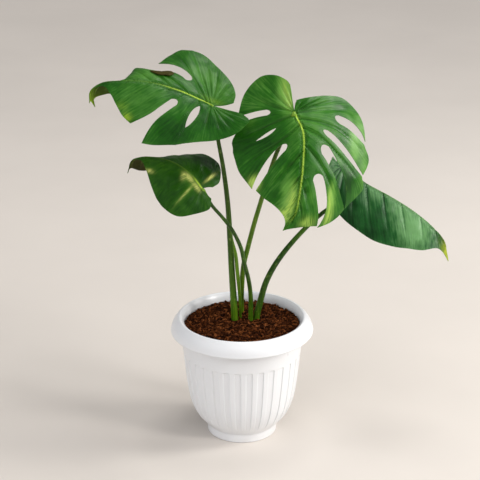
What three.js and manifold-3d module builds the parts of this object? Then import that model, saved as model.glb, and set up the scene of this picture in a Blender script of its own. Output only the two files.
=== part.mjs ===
// Potted monstera plant: a fluted white pot, soil, four leaves on stalks and one young spear.
// Millimetres, +Z up, the origin in the middle of the pot's flat base, the front towards -Y.
import * as THREE from 'three';
import { mergeVertices } from 'three/addons/utils/BufferGeometryUtils.js';
import Module from 'manifold-3d';

const wasm = await Module();
wasm.setup();

const RAD = Math.PI / 180;
const GAP = 0.35;                       // clearance between pieces that stand in or against each other

// ---- pot -------------------------------------------------------------------------------------
const RIM_RADIUS = 100;                 // widest point, at the lower edge of the collar
const POT_HEIGHT = 175;
const WALL = 2.6;
const FLOOR = 3.5;
const FOOT_RADIUS = 49.6;
const FOOT_HEIGHT = 12.5;
const FLUTES = 32;
const FLUTE_DEPTH = 1.2;
const SIDES_PER_FLUTE = 4;              // two on the land, two in the groove
const FLUTE_BOTTOM = 19;
const FLUTE_TOP = 124;
const DRAIN_HOLES = 6;
const DRAIN_RADIUS = 4;
const DRAIN_CIRCLE = 30;
// Outside of the bowl: [radius, height], from the foot up to the underside of the collar.
const BOWL = [
  [50.4, 14], [55, FLUTE_BOTTOM], [57.8, 22], [65.3, 32], [72.8, 50], [77.6, 75], [82.6, FLUTE_TOP - 2.5],
  [83, FLUTE_TOP], [85.6, 153],
];
const COLLAR_EDGE = [RIM_RADIUS - 0.9, 154.5];
const COLLAR_OUTSIDE = [[RIM_RADIUS, 156.5], [98, 163], [93.5, 170], [89.5, 174.2], [87.6, POT_HEIGHT]];
const LIP_INSIDE = [85.6, 174];

// ---- soil ------------------------------------------------------------------------------------
const SOIL_EDGE = 163;
const SOIL_MIDDLE = 164;
const SOIL_SIDES = 40;
const LUMPS = 32;
const LUMP_SIZE = [2.6, 4.6];
const LUMP_CIRCLE = 76;
const GOLDEN_ANGLE = 137.508 * RAD;

// ---- stalks ----------------------------------------------------------------------------------
const STALK_SIDES = 8;
const STALK_STATIONS = 14;
const SOCKET_STATIONS = 5;             // along the hole a stalk stands in
const KNEE_LENGTH = 8;                  // the last bit of a stalk, grown as one with its blade
// Centre line from inside the soil up to the blade's stalk point, and radii at equal steps along it.
const STALKS = {
  stalk_upper_left: {
    blade: 'blade_upper_left', radii: [5.4, 2.3],
    path: [
      [-8, 11, 122], [-10, 12, 163], [-14, 14, 232], [-17, 17, 291], [-20, 18, 339], [-26, 16, 390],
      [-32.5, 9, 431],
    ],
  },
  stalk_front: {
    blade: 'blade_front', radii: [3.9, 2.7],
    path: [
      [-1, 40, 122], [-1, 36, 163], [-0.5, 31, 203], [2.5, 27, 242], [7.5, 25, 265], [15.5, 23, 299],
      [24.5, 20, 333], [45, 12, 406],
    ],
  },
  stalk_lower_left: {
    blade: 'blade_lower_left', radii: [3.6, 2.2],
    path: [
      [11, 10, 122], [12, 7, 163], [12, 3, 204], [9, -1, 230], [3, -5, 257], [-1.5, -8, 280],
      [-13.5, -13, 308.5], [-26, -18, 328], [-41, -22, 348],
    ],
  },
  stalk_right: {
    blade: 'blade_right', radii: [5.2, 2.2],
    path: [
      [21, 15, 122], [20, 13, 163], [26, 14.5, 192], [33.5, 16, 219], [45, 17.5, 243],
      [61.5, 20, 267], [88, 27, 296], [113, 35, 316.5], [127, 37, 326.5], [136, 39, 347],
    ],
  },
};
// The young leaf, still rolled: slim at the soil, widest below its tip.
const SPEAR = {
  radii: [1.7, 1.8, 2.3, 2.8, 2.6, 0.4],
  path: [
    [0, 20, 122], [-2.3, 17, 167], [-3.6, 13, 205], [-6.8, 10.5, 241],
    [-8.4, 9.5, 260], [-11.5, 8.5, 278], [-14.5, 8, 296],
  ],
};

// ---- blades ----------------------------------------------------------------------------------
const BLADE_THICKNESS = 0.8;
const RIB_DEPTH = 2;                    // how far the midrib stands out below, at the stalk
const RIB_HALF_WIDTH = 3;
const KNUCKLE_RADIUS = 2.8;
const VEIN_STATIONS = [0, 0.045, 0.22, 0.42, 0.61, 0.8, 1];
const RAYS_PER_GAP = 2;

// A blade is drawn flat and then bent. Flat coordinates are [along, across] in mm: along the midrib
// from the stalk point to the tip, and out from the midrib. A vein leaves the midrib at `root`,
// swings past `bend` and ends on the margin at `end`. A cut follows a vein: it opens at the share
// `from` of the vein's length and closes at `to` (1 is the margin), with its width halfway and at
// the end; `lean` is how far the corner nearer the stalk reaches out past the other at the margin.
// Both halves list their veins from the notch at the stalk to the tip.
const vein = (root, bend, end, cut = null) => ({ root, bend, end, cut });
const slit = (from, middle, end, lean = 0) => ({ from, to: 1, middle, end, lean });
const hole = (from, to, middle) => ({ from, to, middle, end: 0, lean: 0 });

// Bending: `spine` is the midrib in space and `stalkAt` the index of the stalk point on it. Each
// frame gives the across and up directions at a place along the midrib. Each bend gives, for the
// plus and for the minus half, the slope at the midrib and the slope gained per 100 mm (degrees).
const BLADES = {
  blade_upper_left: {
    spine: [[-8, -16, 478], [-40, 0, 483], [-83, 14, 498], [-124, 24, 507], [-162, 32, 507],
      [-190, 34, 503], [-205, 30, 493], [-207, 24, 478]],
    stalkAt: 1,
    frames: [
      { at: -60, across: [-0.25, 0.85, 0.4], up: [-0.1, -0.45, 0.9] },
      { at: 0, across: [-0.15, 0.88, 0.43], up: [-0.1, -0.45, 0.9] },
      { at: 110, across: [0, 0.9, 0.43], up: [-0.05, -0.43, 0.9] },
      { at: 190, across: [0, 0.9, 0.43], up: [-0.5, -0.4, 0.8] },
    ],
    bends: [
      { at: -60, plus: [-5, 10], minus: [5, 36] },
      { at: 20, plus: [-8, 12], minus: [5, 36] },
      { at: 60, plus: [-6, 30], minus: [5, 36] },
      { at: 90, plus: [-2, 45], minus: [5, 36] },
      { at: 112, plus: [0, 70], minus: [5, 36] },
      { at: 127, plus: [28, 75], minus: [5, 36] },
      { at: 140, plus: [65, 55], minus: [6, 37] },
      { at: 193, plus: [85, 40], minus: [20, 40] },
    ],
    plus: [
      vein(0, [-20, 5], [-37, 17]),
      vein(0, [-25, 18], [-46, 38]),
      vein(0, [-22, 34], [-45, 64]),
      vein(0, [-14, 44], [-30, 84]),
      vein(0, [-4, 50], [-8, 98]),
      vein(3, [6, 52], [18, 96]),
      vein(8, [26, 50], [54, 82]),
      vein(14, [28, 52], [77, 38], slit(0.36, 17, 22)),
      vein(34, [62, 23], [92, 28]),
      vein(58, [86, 26], [114, 38]),
      vein(86, [114, 27], [138, 44]),
      vein(112, [136, 18], [154, 27]),
      vein(138, [156, 12], [167, 20]),
      vein(158, [174, 8], [183, 11]),
      vein(168, [182, 8], [190, 15]),
      vein(175, [186, 3], [189, 4]),
      vein(180, [187, 0], [194, 0]),
    ],
    minus: [
      vein(0, [-22, 0], [-45, 1]),
      vein(0, [-30, 6], [-53, 9]),
      vein(0, [-22, 14], [-43, 22]),
      vein(0, [-12, 24], [-27, 38]),
      vein(0, [-2, 30], [-8, 51]),
      vein(2, [14, 34], [22, 67]),
      vein(12, [26, 20], [60, 86], hole(0.245, 0.76, 8.5)),
      vein(18, [42, 40], [86, 93]),
      vein(37, [64, 30], [110, 80], slit(0.27, 10, 29, 9)),
      vein(60, [98, 36], [129, 56]),
      vein(90, [118, 26], [138, 39]),
      vein(120, [135, 11], [146, 21]),
      vein(144, [151, 3], [158, 5]),
      vein(180, [187, 0], [194, 0]),
    ],
  },
  blade_front: {
    spine: [[62, 6, 534], [70, -10, 476], [81, -22, 452], [81, -40, 414], [77, -54, 381], [70, -64, 350],
      [54, -68, 329]],
    stalkAt: 1,
    frames: [
      { at: -60, across: [-0.98, -0.08, -0.12], up: [0.06, -0.97, 0.24] },
      { at: 0, across: [-0.96, -0.13, -0.22], up: [0.03, -0.92, 0.4] },
      { at: 60, across: [-0.99, 0, 0.04], up: [0.02, -0.91, 0.42] },
      { at: 120, across: [-0.99, 0.03, 0.1], up: [0, -0.95, 0.3] },
      { at: 170, across: [-0.9, 0.08, 0.35], up: [0, -0.98, 0.2] },
    ],
    bends: [
      { at: -60, plus: [8, 14], minus: [15, 40] },
      { at: 0, plus: [6, 12], minus: [12, 34] },
      { at: 80, plus: [6, 16], minus: [8, 36] },
      { at: 150, plus: [10, 30], minus: [10, 50] },
    ],
    plus: [
      vein(0, [-18, -1], [-40, 2]),
      vein(0, [-28, 8], [-52, 20]),
      vein(0, [-26, 22], [-52, 40]),
      vein(0, [-16, 34], [-36, 63]),
      vein(1, [-14, 38], [-8, 76], slit(0.42, 7, 9)),
      vein(4, [8, 45], [24, 96]),
      vein(5, [12, 38], [58, 97], hole(0.385, 0.715, 5)),
      vein(18, [58, 62], [88, 86]),
      vein(26, [58, 47], [113, 63], slit(0.27, 10.5, 6)),
      vein(54, [88, 30], [124, 48]),
      vein(84, [112, 16], [134, 31]),
      vein(112, [132, 10], [146, 14]),
      vein(138, [148, 3], [157, 4]),
      vein(155, [162, 0], [168, 0]),
    ],
    minus: [
      vein(0, [-8, 2], [-15, 6]),
      vein(0, [-10, 12], [-15, 24]),
      vein(0, [-8, 28], [-12, 54]),
      vein(0, [-4, 42], [-4, 80]),
      vein(2, [4, 50], [16, 97]),
      vein(4, [16, 69], [43, 95], slit(0.44, 10.5, 4)),
      vein(10, [30, 60], [60, 103]),
      vein(14, [33, 42], [80, 92], slit(0.33, 7, 3)),
      vein(23, [54, 54], [101, 97]),
      vein(28, [56, 47], [127, 72], slit(0.28, 13.5, 1)),
      vein(46, [80, 38], [139, 60]),
      vein(62, [84, 30], [150, 39], slit(0.37, 15, 2, 2)),
      vein(96, [132, 18], [151, 29]),
      vein(120, [142, 10], [156, 16]),
      vein(142, [154, 3], [162, 6]),
      vein(155, [162, 0], [168, 0]),
    ],
  },
  blade_lower_left: {
    spine: [[-39, -36, 356], [-54, -26, 374], [-70, -10, 389], [-92, 4, 400], [-117, 12, 405], [-136, 14, 405],
      [-151, 12, 400], [-156, 6, 386]],
    stalkAt: 1,
    frames: [
      { at: -35, across: [0.75, 0.5, 0.3], up: [0.1, -0.6, 0.78] },
      { at: 0, across: [0.7, 0.58, 0.35], up: [0.1, -0.6, 0.78] },
      { at: 40, across: [0.45, 0.75, 0.5], up: [0, -0.6, 0.78] },
      { at: 80, across: [0.1, 0.82, 0.55], up: [0, -0.6, 0.78] },
      { at: 125, across: [0, 0.85, 0.5], up: [-0.4, -0.6, 0.7] },
    ],
    bends: [
      { at: -40, plus: [0, 40], minus: [8, 36] },
      { at: 0, plus: [-9, 43], minus: [8, 36] },
      { at: 28, plus: [0, 65], minus: [8, 36] },
      { at: 60, plus: [24, 75], minus: [8, 36] },
      { at: 95, plus: [60, 60], minus: [8, 36] },
      { at: 125, plus: [80, 60], minus: [15, 40] },
    ],
    plus: [
      vein(0, [-3, 7], [-8, 13]),
      vein(0, [-5, 12], [-8, 24]),
      vein(0, [-2, 18], [-1, 34]),
      vein(0, [2, 26], [9, 43]),
      vein(3, [12, 30], [20, 47]),
      vein(12, [26, 34], [36, 52]),
      vein(26, [44, 34], [60, 53]),
      vein(44, [66, 29], [84, 44]),
      vein(68, [88, 22], [103, 39]),
      vein(92, [106, 14], [117, 26]),
      vein(108, [118, 3], [127, 4]),
      vein(118, [126, 0], [136, 0]),
    ],
    minus: [
      vein(0, [-10, 0], [-19, -2]),
      vein(0, [-18, 4], [-29, 9]),
      vein(0, [-14, 16], [-22, 29]),
      vein(0, [-6, 28], [-9, 48]),
      vein(2, [6, 34], [12, 57]),
      vein(10, [28, 38], [42, 62]),
      vein(24, [48, 36], [70, 59]),
      vein(44, [70, 24], [85, 42]),
      vein(68, [84, 12], [95, 21]),
      vein(92, [100, 2], [106, 3]),
      vein(118, [126, 0], [136, 0]),
    ],
  },
  blade_right: {
    spine: [[116, 44, 397], [139, 40, 382], [172, 36, 359], [204, 32, 342], [235, 28, 323], [260, 22, 304],
      [280, 14, 282], [287, 8, 253]],
    stalkAt: 1,
    frames: [
      { at: -35, across: [-0.42, -0.76, -0.5], up: [0.36, -0.65, 0.68] },
      { at: 120, across: [-0.45, -0.77, -0.45], up: [0.36, -0.62, 0.7] },
      { at: 190, across: [-0.6, -0.75, -0.25], up: [0.5, -0.62, 0.6] },
    ],
    bends: [
      { at: -40, plus: [10, 40], minus: [25, 60] },
      { at: 0, plus: [10, 40], minus: [50, 55] },
      { at: 80, plus: [10, 40], minus: [62, 45] },
      { at: 160, plus: [10, 50], minus: [65, 45] },
    ],
    plus: [
      vein(0, [-10, 0], [-19, 1]),
      vein(0, [-12, 6], [-17, 12]),
      vein(0, [-8, 14], [-8, 25]),
      vein(0, [-2, 26], [6, 41]),
      vein(3, [14, 34], [24, 56]),
      vein(18, [42, 44], [56, 64]),
      vein(40, [70, 46], [90, 67]),
      vein(66, [96, 40], [117, 60]),
      vein(96, [122, 32], [142, 48]),
      vein(128, [148, 20], [164, 35]),
      vein(156, [168, 8], [180, 13]),
      vein(186, [196, 0], [206, 0]),
    ],
    minus: [
      vein(0, [-10, 0], [-19, 1]),
      vein(0, [-12, 6], [-18, 11]),
      vein(0, [-10, 18], [-15, 29]),
      vein(0, [-6, 30], [-8, 48]),
      vein(3, [14, 34], [18, 56]),
      vein(18, [42, 40], [56, 58]),
      vein(40, [70, 42], [90, 60]),
      vein(66, [96, 36], [117, 54]),
      vein(96, [122, 28], [142, 42]),
      vein(128, [148, 16], [164, 28]),
      vein(156, [168, 6], [182, 9]),
      vein(186, [196, 0], [206, 0]),
    ],
  },
};

// ---- colours ---------------------------------------------------------------------------------
const WHITE = 0xf2f2f0;
const EARTH = 0x3a2014;
const LEAF_GREEN = 0x2f6b22;
const STALK_GREEN = 0x4c8a2a;
const SPEAR_GREEN = 0x7fae3c;

// ---- small helpers ---------------------------------------------------------------------------
const vec = (p) => new THREE.Vector3(p[0], p[1], p[2]);
const mix = (a, b, t) => a + (b - a) * t;

function geometryOf(positions, triangles) {
  const geometry = new THREE.BufferGeometry();
  geometry.setAttribute('position', new THREE.Float32BufferAttribute(positions.flat(), 3));
  geometry.setIndex(triangles.flat());
  return geometry;
}

function solid(geometry) {
  const bare = geometry.index ? geometry.clone() : geometry;
  bare.deleteAttribute('normal');
  bare.deleteAttribute('uv');
  const welded = mergeVertices(bare, 1e-4);
  const mesh = new wasm.Mesh({
    numProp: 3,
    vertProperties: new Float32Array(welded.attributes.position.array),
    triVerts: new Uint32Array(welded.index.array),
  });
  return new wasm.Manifold(mesh);
}

function geometryFrom(body) {
  const mesh = body.getMesh();
  const geometry = new THREE.BufferGeometry();
  geometry.setAttribute('position', new THREE.BufferAttribute(mesh.vertProperties, 3));
  geometry.setIndex(new THREE.BufferAttribute(mesh.triVerts, 1));
  return geometry;
}

function named(name, geometry, color, roughness) {
  geometry.computeVertexNormals();
  const mesh = new THREE.Mesh(geometry, new THREE.MeshStandardMaterial({ color, roughness, metalness: 0 }));
  mesh.name = name;
  return mesh;
}

// Skins a row of equal rings into a closed body. A ring of one point is a pole.
function skin(rings) {
  const positions = rings.flat();
  const triangles = [];
  let start = 0;
  for (let k = 0; k + 1 < rings.length; k += 1) {
    const next = start + rings[k].length;
    const sides = Math.max(rings[k].length, rings[k + 1].length);
    for (let i = 0; i < sides; i += 1) {
      const j = (i + 1) % sides;
      const low = rings[k].length === 1 ? [start, start] : [start + i, start + j];
      const high = rings[k + 1].length === 1 ? [next, next] : [next + i, next + j];
      if (low[0] !== low[1]) triangles.push([low[0], low[1], high[1]]);
      if (high[0] !== high[1]) triangles.push([low[0], high[1], high[0]]);
    }
    start = next;
  }
  return geometryOf(positions, triangles);
}

// Samples a list of { at, ...values } at a place along the midrib.
function between(list, at, pick) {
  let k = 0;
  while (k + 2 < list.length && at > list[k + 1].at) k += 1;
  const t = Math.min(1, Math.max(0, (at - list[k].at) / (list[k + 1].at - list[k].at)));
  const [low, high] = [pick(list[k]), pick(list[k + 1])];
  return low.map((value, i) => mix(value, high[i], t));
}

// ---- pot and soil ----------------------------------------------------------------------------
function potRing(radius, z, depth = 0) {
  if (radius === 0) return [[0, 0, z]];
  const ring = [];
  const sides = FLUTES * SIDES_PER_FLUTE;
  for (let i = 0; i < sides; i += 1) {
    const inGroove = i % SIDES_PER_FLUTE >= SIDES_PER_FLUTE / 2;
    const r = radius - (inGroove ? depth : 0);
    const angle = (i / sides) * 2 * Math.PI;
    ring.push([r * Math.cos(angle), r * Math.sin(angle), z]);
  }
  return ring;
}

// Inner radius of the bowl at a height, one wall inside the outer line.
function insideRadius(z) {
  let k = 0;
  while (k + 2 < BOWL.length && z > BOWL[k + 1][1]) k += 1;
  const t = (z - BOWL[k][1]) / (BOWL[k + 1][1] - BOWL[k][1]);
  return mix(BOWL[k][0], BOWL[k + 1][0], t) - WALL;
}

function pot() {
  const outside = BOWL.map(([r, z]) => potRing(r, z, z > FLUTE_BOTTOM && z < FLUTE_TOP ? FLUTE_DEPTH : 0));
  const insideHeights = [153, 75, 43, 22];
  const rings = [
    potRing(0, 0), potRing(FOOT_RADIUS - 2.6, 0), potRing(FOOT_RADIUS - 1.2, 1.2),
    potRing(FOOT_RADIUS, FOOT_HEIGHT), ...outside,
    potRing(RIM_RADIUS - 4, 153.8), potRing(...COLLAR_EDGE),
    ...COLLAR_OUTSIDE.map(([r, z]) => potRing(r, z)), potRing(...LIP_INSIDE),
    ...insideHeights.map((z) => potRing(insideRadius(z) - FLUTE_DEPTH / 2, z)),
    potRing(FOOT_RADIUS - WALL, FLOOR + 4), potRing(FOOT_RADIUS - WALL - 3, FLOOR), potRing(0, FLOOR),
  ];
  let body = solid(skin(rings));
  for (let i = 0; i < DRAIN_HOLES; i += 1) {
    const angle = ((i + 0.5) / DRAIN_HOLES) * 2 * Math.PI;
    const drain = new THREE.CylinderGeometry(DRAIN_RADIUS, DRAIN_RADIUS, 4 * FLOOR, 12);
    drain.rotateX(Math.PI / 2);
    drain.translate(DRAIN_CIRCLE * Math.cos(angle), DRAIN_CIRCLE * Math.sin(angle), 0);
    body = body.subtract(solid(drain));
  }
  return geometryFrom(body);
}

function soilRing(radius, z) {
  const ring = [];
  for (let i = 0; i < SOIL_SIDES; i += 1) {
    const angle = (i / SOIL_SIDES) * 2 * Math.PI;
    ring.push([radius * Math.cos(angle), radius * Math.sin(angle), z]);
  }
  return ring;
}

function soil() {
  const clear = GAP + FLUTE_DEPTH / 2;
  const sideHeights = [22, 43, 75, SOIL_EDGE - 3];
  const bottom = FLOOR + 2;
  const rings = [
    [[0, 0, bottom]], soilRing(FOOT_RADIUS - WALL - 4, bottom),
    ...sideHeights.map((z) => soilRing(insideRadius(z) - clear - 0.4, z)),
    soilRing(80, SOIL_EDGE), soilRing(60, mix(SOIL_EDGE, SOIL_MIDDLE, 0.6)), [[0, 0, SOIL_MIDDLE]],
  ];
  let body = solid(skin(rings));
  for (let i = 0; i < LUMPS; i += 1) {
    const radius = LUMP_CIRCLE * Math.sqrt((i + 0.5) / LUMPS);
    const angle = i * GOLDEN_ANGLE;
    const size = mix(LUMP_SIZE[0], LUMP_SIZE[1], (i * 7 % LUMPS) / LUMPS);
    const lump = new THREE.IcosahedronGeometry(size, 0);
    lump.scale(1.3, 1, 0.7);
    lump.rotateZ(i * 2.1);
    const top = mix(SOIL_MIDDLE, SOIL_EDGE, (radius / 80) ** 2);
    lump.translate(radius * Math.cos(angle), radius * Math.sin(angle), top);
    body = body.add(solid(lump));
  }
  for (const stalk of [...Object.values(STALKS), SPEAR]) {
    const path = [vec(stalk.path[0]), vec(stalk.path[1]), vec(stalk.path[2])];
    const down = path[0].clone().sub(path[1]).setLength(GAP);
    path[0].add(down);
    body = body.subtract(solid(tube(path, [stalk.radii[0] + GAP, stalk.radii[0] + GAP], SOCKET_STATIONS)));
  }
  return geometryFrom(body);
}

// ---- stalks ----------------------------------------------------------------------------------
function radiusAt(radii, share) {
  const place = share * (radii.length - 1);
  const k = Math.min(radii.length - 2, Math.floor(place));
  return mix(radii[k], radii[k + 1], place - k);
}

function tube(points, radii, stations = STALK_STATIONS) {
  const curve = new THREE.CatmullRomCurve3(points, false, 'centripetal');
  const rings = [];
  const side = new THREE.Vector3();
  const front = new THREE.Vector3(0, -1, 0);
  for (let k = 0; k <= stations; k += 1) {
    const t = k / stations;
    const centre = curve.getPointAt(t);
    const along = curve.getTangentAt(t);
    side.crossVectors(front, along).normalize();
    const out = new THREE.Vector3().crossVectors(along, side);
    const radius = radiusAt(radii, t);
    const ring = [];
    for (let i = 0; i < STALK_SIDES; i += 1) {
      const angle = (i / STALK_SIDES) * 2 * Math.PI;
      const p = centre.clone();
      p.addScaledVector(side, radius * Math.cos(angle));
      p.addScaledVector(out, radius * Math.sin(angle));
      ring.push(p.toArray());
    }
    rings.push(ring);
  }
  return skin([[curve.getPointAt(0).toArray()], ...rings, [curve.getPointAt(1).toArray()]]);
}

// Direction in which a stalk reaches its blade's stalk point.
function kneeDirection(stalk) {
  const blade = BLADES[stalk.blade];
  return vec(blade.spine[blade.stalkAt]).sub(vec(stalk.path[stalk.path.length - 1])).normalize();
}

function stalkGeometry(stalk) {
  const blade = BLADES[stalk.blade];
  const top = vec(blade.spine[blade.stalkAt]).addScaledVector(kneeDirection(stalk), -KNEE_LENGTH - GAP);
  return tube([...stalk.path.map(vec), top], stalk.radii);
}

// ---- blades ----------------------------------------------------------------------------------
// Points along one vein, as the left and right edge of its cut. Without a cut both are the same.
function veinEdges(v) {
  const edges = [[], []];
  const cut = v.cut;
  const stations = VEIN_STATIONS.slice();
  let first = 0;
  let last = 0;
  if (cut) {
    first = nearest(stations, cut.from);
    stations[first] = cut.from;
    last = cut.to < 1 ? nearest(stations, cut.to) : stations.length - 1;
    stations[last] = cut.to;
  }
  stations.forEach((s, k) => {
    const [along, across] = [0, 1].map((i) => {
      const from = i === 0 ? v.root : 0;
      return (1 - s) ** 2 * from + 2 * s * (1 - s) * v.bend[i] + s * s * v.end[i];
    });
    const da = 2 * (1 - s) * (v.bend[0] - v.root) + 2 * s * (v.end[0] - v.bend[0]);
    const db = 2 * (1 - s) * v.bend[1] + 2 * s * (v.end[1] - v.bend[1]);
    const half = cut && k > first ? cutWidth(cut, s) / 2 / Math.hypot(da, db) : 0;
    const reach = cut && k > first ? (cut.lean / 2) * s ** 3 / Math.hypot(da, db) : 0;
    edges[0].push([along - db * half + da * reach, across + da * half + db * reach]);
    edges[1].push([along + db * half - da * reach, across - da * half - db * reach]);
  });
  return edges;
}

function nearest(stations, s) {
  let best = 1;
  stations.forEach((value, k) => {
    if (Math.abs(value - s) < Math.abs(stations[best] - s)) best = k;
  });
  return best;
}

function cutWidth(cut, s) {
  const u = (s - cut.from) / (cut.to - cut.from);
  if (u <= 0 || u > 1) return 0;
  if (cut.to < 1) return u === 1 ? 0 : cut.middle * Math.sin(Math.PI * u) ** 0.7;
  if (u < 0.5) return cut.middle * Math.min(1, Math.sqrt(12 * u));
  return mix(cut.middle, cut.end, (2 * u - 1) ** 2);
}

// The fingers of one half: each is a list of rays, smoothed between the veins it holds.
function fingersOf(veins) {
  const fingers = [];
  let current = [];
  veins.forEach((v) => {
    const [left, right] = veinEdges(v);
    current.push(left);
    if (v.cut) {
      fingers.push(current);
      current = [right];
    }
  });
  fingers.push(current);
  return fingers.map(refine);
}

function refine(rays) {
  const fine = [];
  for (let k = 0; k + 1 < rays.length; k += 1) {
    for (let j = 0; j < RAYS_PER_GAP; j += 1) {
      const t = j / RAYS_PER_GAP;
      fine.push(rays[k].map((p, s) => p.map((value, i) => {
        const before = k > 0 ? rays[k - 1][s][i] : 2 * value - rays[k + 1][s][i];
        const next = rays[k + 1][s][i];
        const after = k + 2 < rays.length ? rays[k + 2][s][i] : 2 * next - value;
        return catmull(before, value, next, after, t);
      })));
    }
  }
  fine.push(rays[rays.length - 1]);
  return fine;
}

function catmull(a, b, c, d, t) {
  return b + 0.5 * t * (c - a + t * (2 * a - 5 * b + 4 * c - d + t * (3 * (b - c) + d - a)));
}

// The flat blade: welded points and triangles, wound so that the upper face looks up.
function flatBlade(blade) {
  const points = [];
  const lookup = new Map();
  const triangles = [];
  const weld = (along, across) => {
    const key = `${along.toFixed(3)},${(across + 0).toFixed(3)}`.replace('-0.000', '0.000');
    if (!lookup.has(key)) {
      lookup.set(key, points.length);
      points.push([along, across]);
    }
    return lookup.get(key);
  };
  const add = (a, b, c, side) => {
    if (a === b || b === c || a === c) return;
    triangles.push(side > 0 ? [a, b, c] : [a, c, b]);
  };
  for (const side of [1, -1]) {
    const fingers = fingersOf(side > 0 ? blade.plus : blade.minus);
    for (const rays of fingers) {
      const ids = rays.map((ray) => ray.map(([along, across]) => weld(along, side * across)));
      for (let k = 0; k + 1 < ids.length; k += 1) {
        for (let s = 1; s + 1 < ids[k].length; s += 1) {
          add(ids[k][s], ids[k][s + 1], ids[k + 1][s + 1], side);
          add(ids[k][s], ids[k + 1][s + 1], ids[k + 1][s], side);
        }
      }
    }
    const column = ribColumn(fingers, weld, side);
    zip(midribIds(blade, weld), column, points, (a, b, c) => add(a, b, c, side));
  }
  return { points, triangles };
}

// The points next to the midrib, each once, from the notch to the tip.
function ribColumn(fingers, weld, side) {
  const column = [];
  for (const ray of fingers.flat()) {
    const id = weld(ray[1][0], side * ray[1][1]);
    if (column[column.length - 1] !== id) column.push(id);
  }
  return column;
}

function midribIds(blade, weld) {
  const end = blade.plus[blade.plus.length - 1].root;
  const steps = Math.round(end / 10);
  const ids = [];
  for (let k = 0; k <= steps; k += 1) ids.push(weld((k / steps) * end, 0));
  return ids;
}

// Fills the strip between the midrib and the column beside it.
function zip(rib, column, points, add) {
  let i = 0;
  let j = 0;
  while (i + 1 < rib.length || j + 1 < column.length) {
    const ribNext = i + 1 < rib.length ? points[rib[i + 1]][0] : Infinity;
    const columnNext = j + 1 < column.length ? points[column[j + 1]][0] : Infinity;
    if (columnNext <= ribNext) {
      add(rib[i], column[j], column[j + 1]);
      j += 1;
    } else {
      add(rib[i], column[j], rib[i + 1]);
      i += 1;
    }
  }
}

function spineOf(blade) {
  const curve = new THREE.CatmullRomCurve3(blade.spine.map(vec), false, 'centripetal');
  curve.arcLengthDivisions = 400;
  const lengths = curve.getLengths();
  const stalk = lengths[Math.round((blade.stalkAt / (blade.spine.length - 1)) * 400)];
  return { curve, stalk, length: curve.getLength() };
}

// Bends a flat point into space.
function bent(blade, spine, along, across) {
  const u = (spine.stalk + along) / spine.length;
  const inside = Math.min(1, Math.max(0, u));
  const point = spine.curve.getPointAt(inside);
  point.addScaledVector(spine.curve.getTangentAt(inside), (u - inside) * spine.length);
  const out = vec(between(blade.frames, along, (f) => f.across)).normalize();
  const up = vec(between(blade.frames, along, (f) => f.up));
  up.addScaledVector(out, -up.dot(out)).normalize();
  const [slope, gain] = between(blade.bends, along, (b) => (across >= 0 ? b.plus : b.minus));
  const start = slope * RAD;
  const rate = (gain * RAD) / 100;
  const reach = Math.abs(across);
  const level = (Math.sin(start + rate * reach) - Math.sin(start)) / rate;
  const drop = (Math.cos(start) - Math.cos(start + rate * reach)) / rate;
  return point.addScaledVector(out, Math.sign(across) * level).addScaledVector(up, -drop);
}

function thicknessAt(along, across, length) {
  if (along < 0) return BLADE_THICKNESS;
  const share = Math.max(0, 1 - Math.abs(across) / RIB_HALF_WIDTH);
  return BLADE_THICKNESS + RIB_DEPTH * share * Math.max(0, 1 - along / length);
}

// Gives the bent sheet its thickness: the same triangles above and below, and a wall all round.
function thicken(sheet, triangles, thickness) {
  const normals = sheet.map(() => new THREE.Vector3());
  for (const [a, b, c] of triangles) {
    const face = sheet[b].clone().sub(sheet[a]).cross(sheet[c].clone().sub(sheet[a]));
    for (const i of [a, b, c]) normals[i].add(face);
  }
  const below = sheet.map((p, i) => p.clone().addScaledVector(normals[i].normalize(), -thickness[i]));
  const count = sheet.length;
  const all = triangles.map((t) => t.slice());
  for (const [a, b, c] of triangles) all.push([a + count, c + count, b + count]);
  const open = new Map();
  for (const t of triangles) {
    for (let k = 0; k < 3; k += 1) {
      const [a, b] = [t[k], t[(k + 1) % 3]];
      if (!open.delete(`${b},${a}`)) open.set(`${a},${b}`, [a, b]);
    }
  }
  for (const [a, b] of open.values()) all.push([b, a, a + count], [b, a + count, b + count]);
  return geometryOf([...sheet, ...below].map((p) => p.toArray()), all);
}

function bladeGeometry(name) {
  const blade = BLADES[name];
  const spine = spineOf(blade);
  const { points, triangles } = flatBlade(blade);
  const sheet = points.map(([along, across]) => bent(blade, spine, along, across));
  const thickness = points.map(([along, across]) => thicknessAt(along, across, spine.length));
  const stalk = Object.values(STALKS).find((s) => s.blade === name);
  return geometryFrom(solid(thicken(sheet, triangles, thickness)).add(knee(blade, stalk)));
}

// The swelling where the stalk meets the blade, and the short end of the stalk grown to it.
function knee(blade, stalk) {
  const at = vec(blade.spine[blade.stalkAt]);
  const direction = kneeDirection(stalk);
  const knuckle = new THREE.SphereGeometry(KNUCKLE_RADIUS, 8, 6);
  const centre = at.clone().addScaledVector(direction, -KNUCKLE_RADIUS * 0.7);
  knuckle.translate(centre.x, centre.y, centre.z);
  const length = KNEE_LENGTH - KNUCKLE_RADIUS * 0.7;
  const stub = new THREE.CylinderGeometry(stalk.radii[1], stalk.radii[1], length, STALK_SIDES);
  stub.translate(0, -length / 2, 0);
  stub.applyQuaternion(new THREE.Quaternion().setFromUnitVectors(new THREE.Vector3(0, 1, 0), direction));
  stub.translate(centre.x, centre.y, centre.z);
  return solid(knuckle).add(solid(stub));
}

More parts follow.
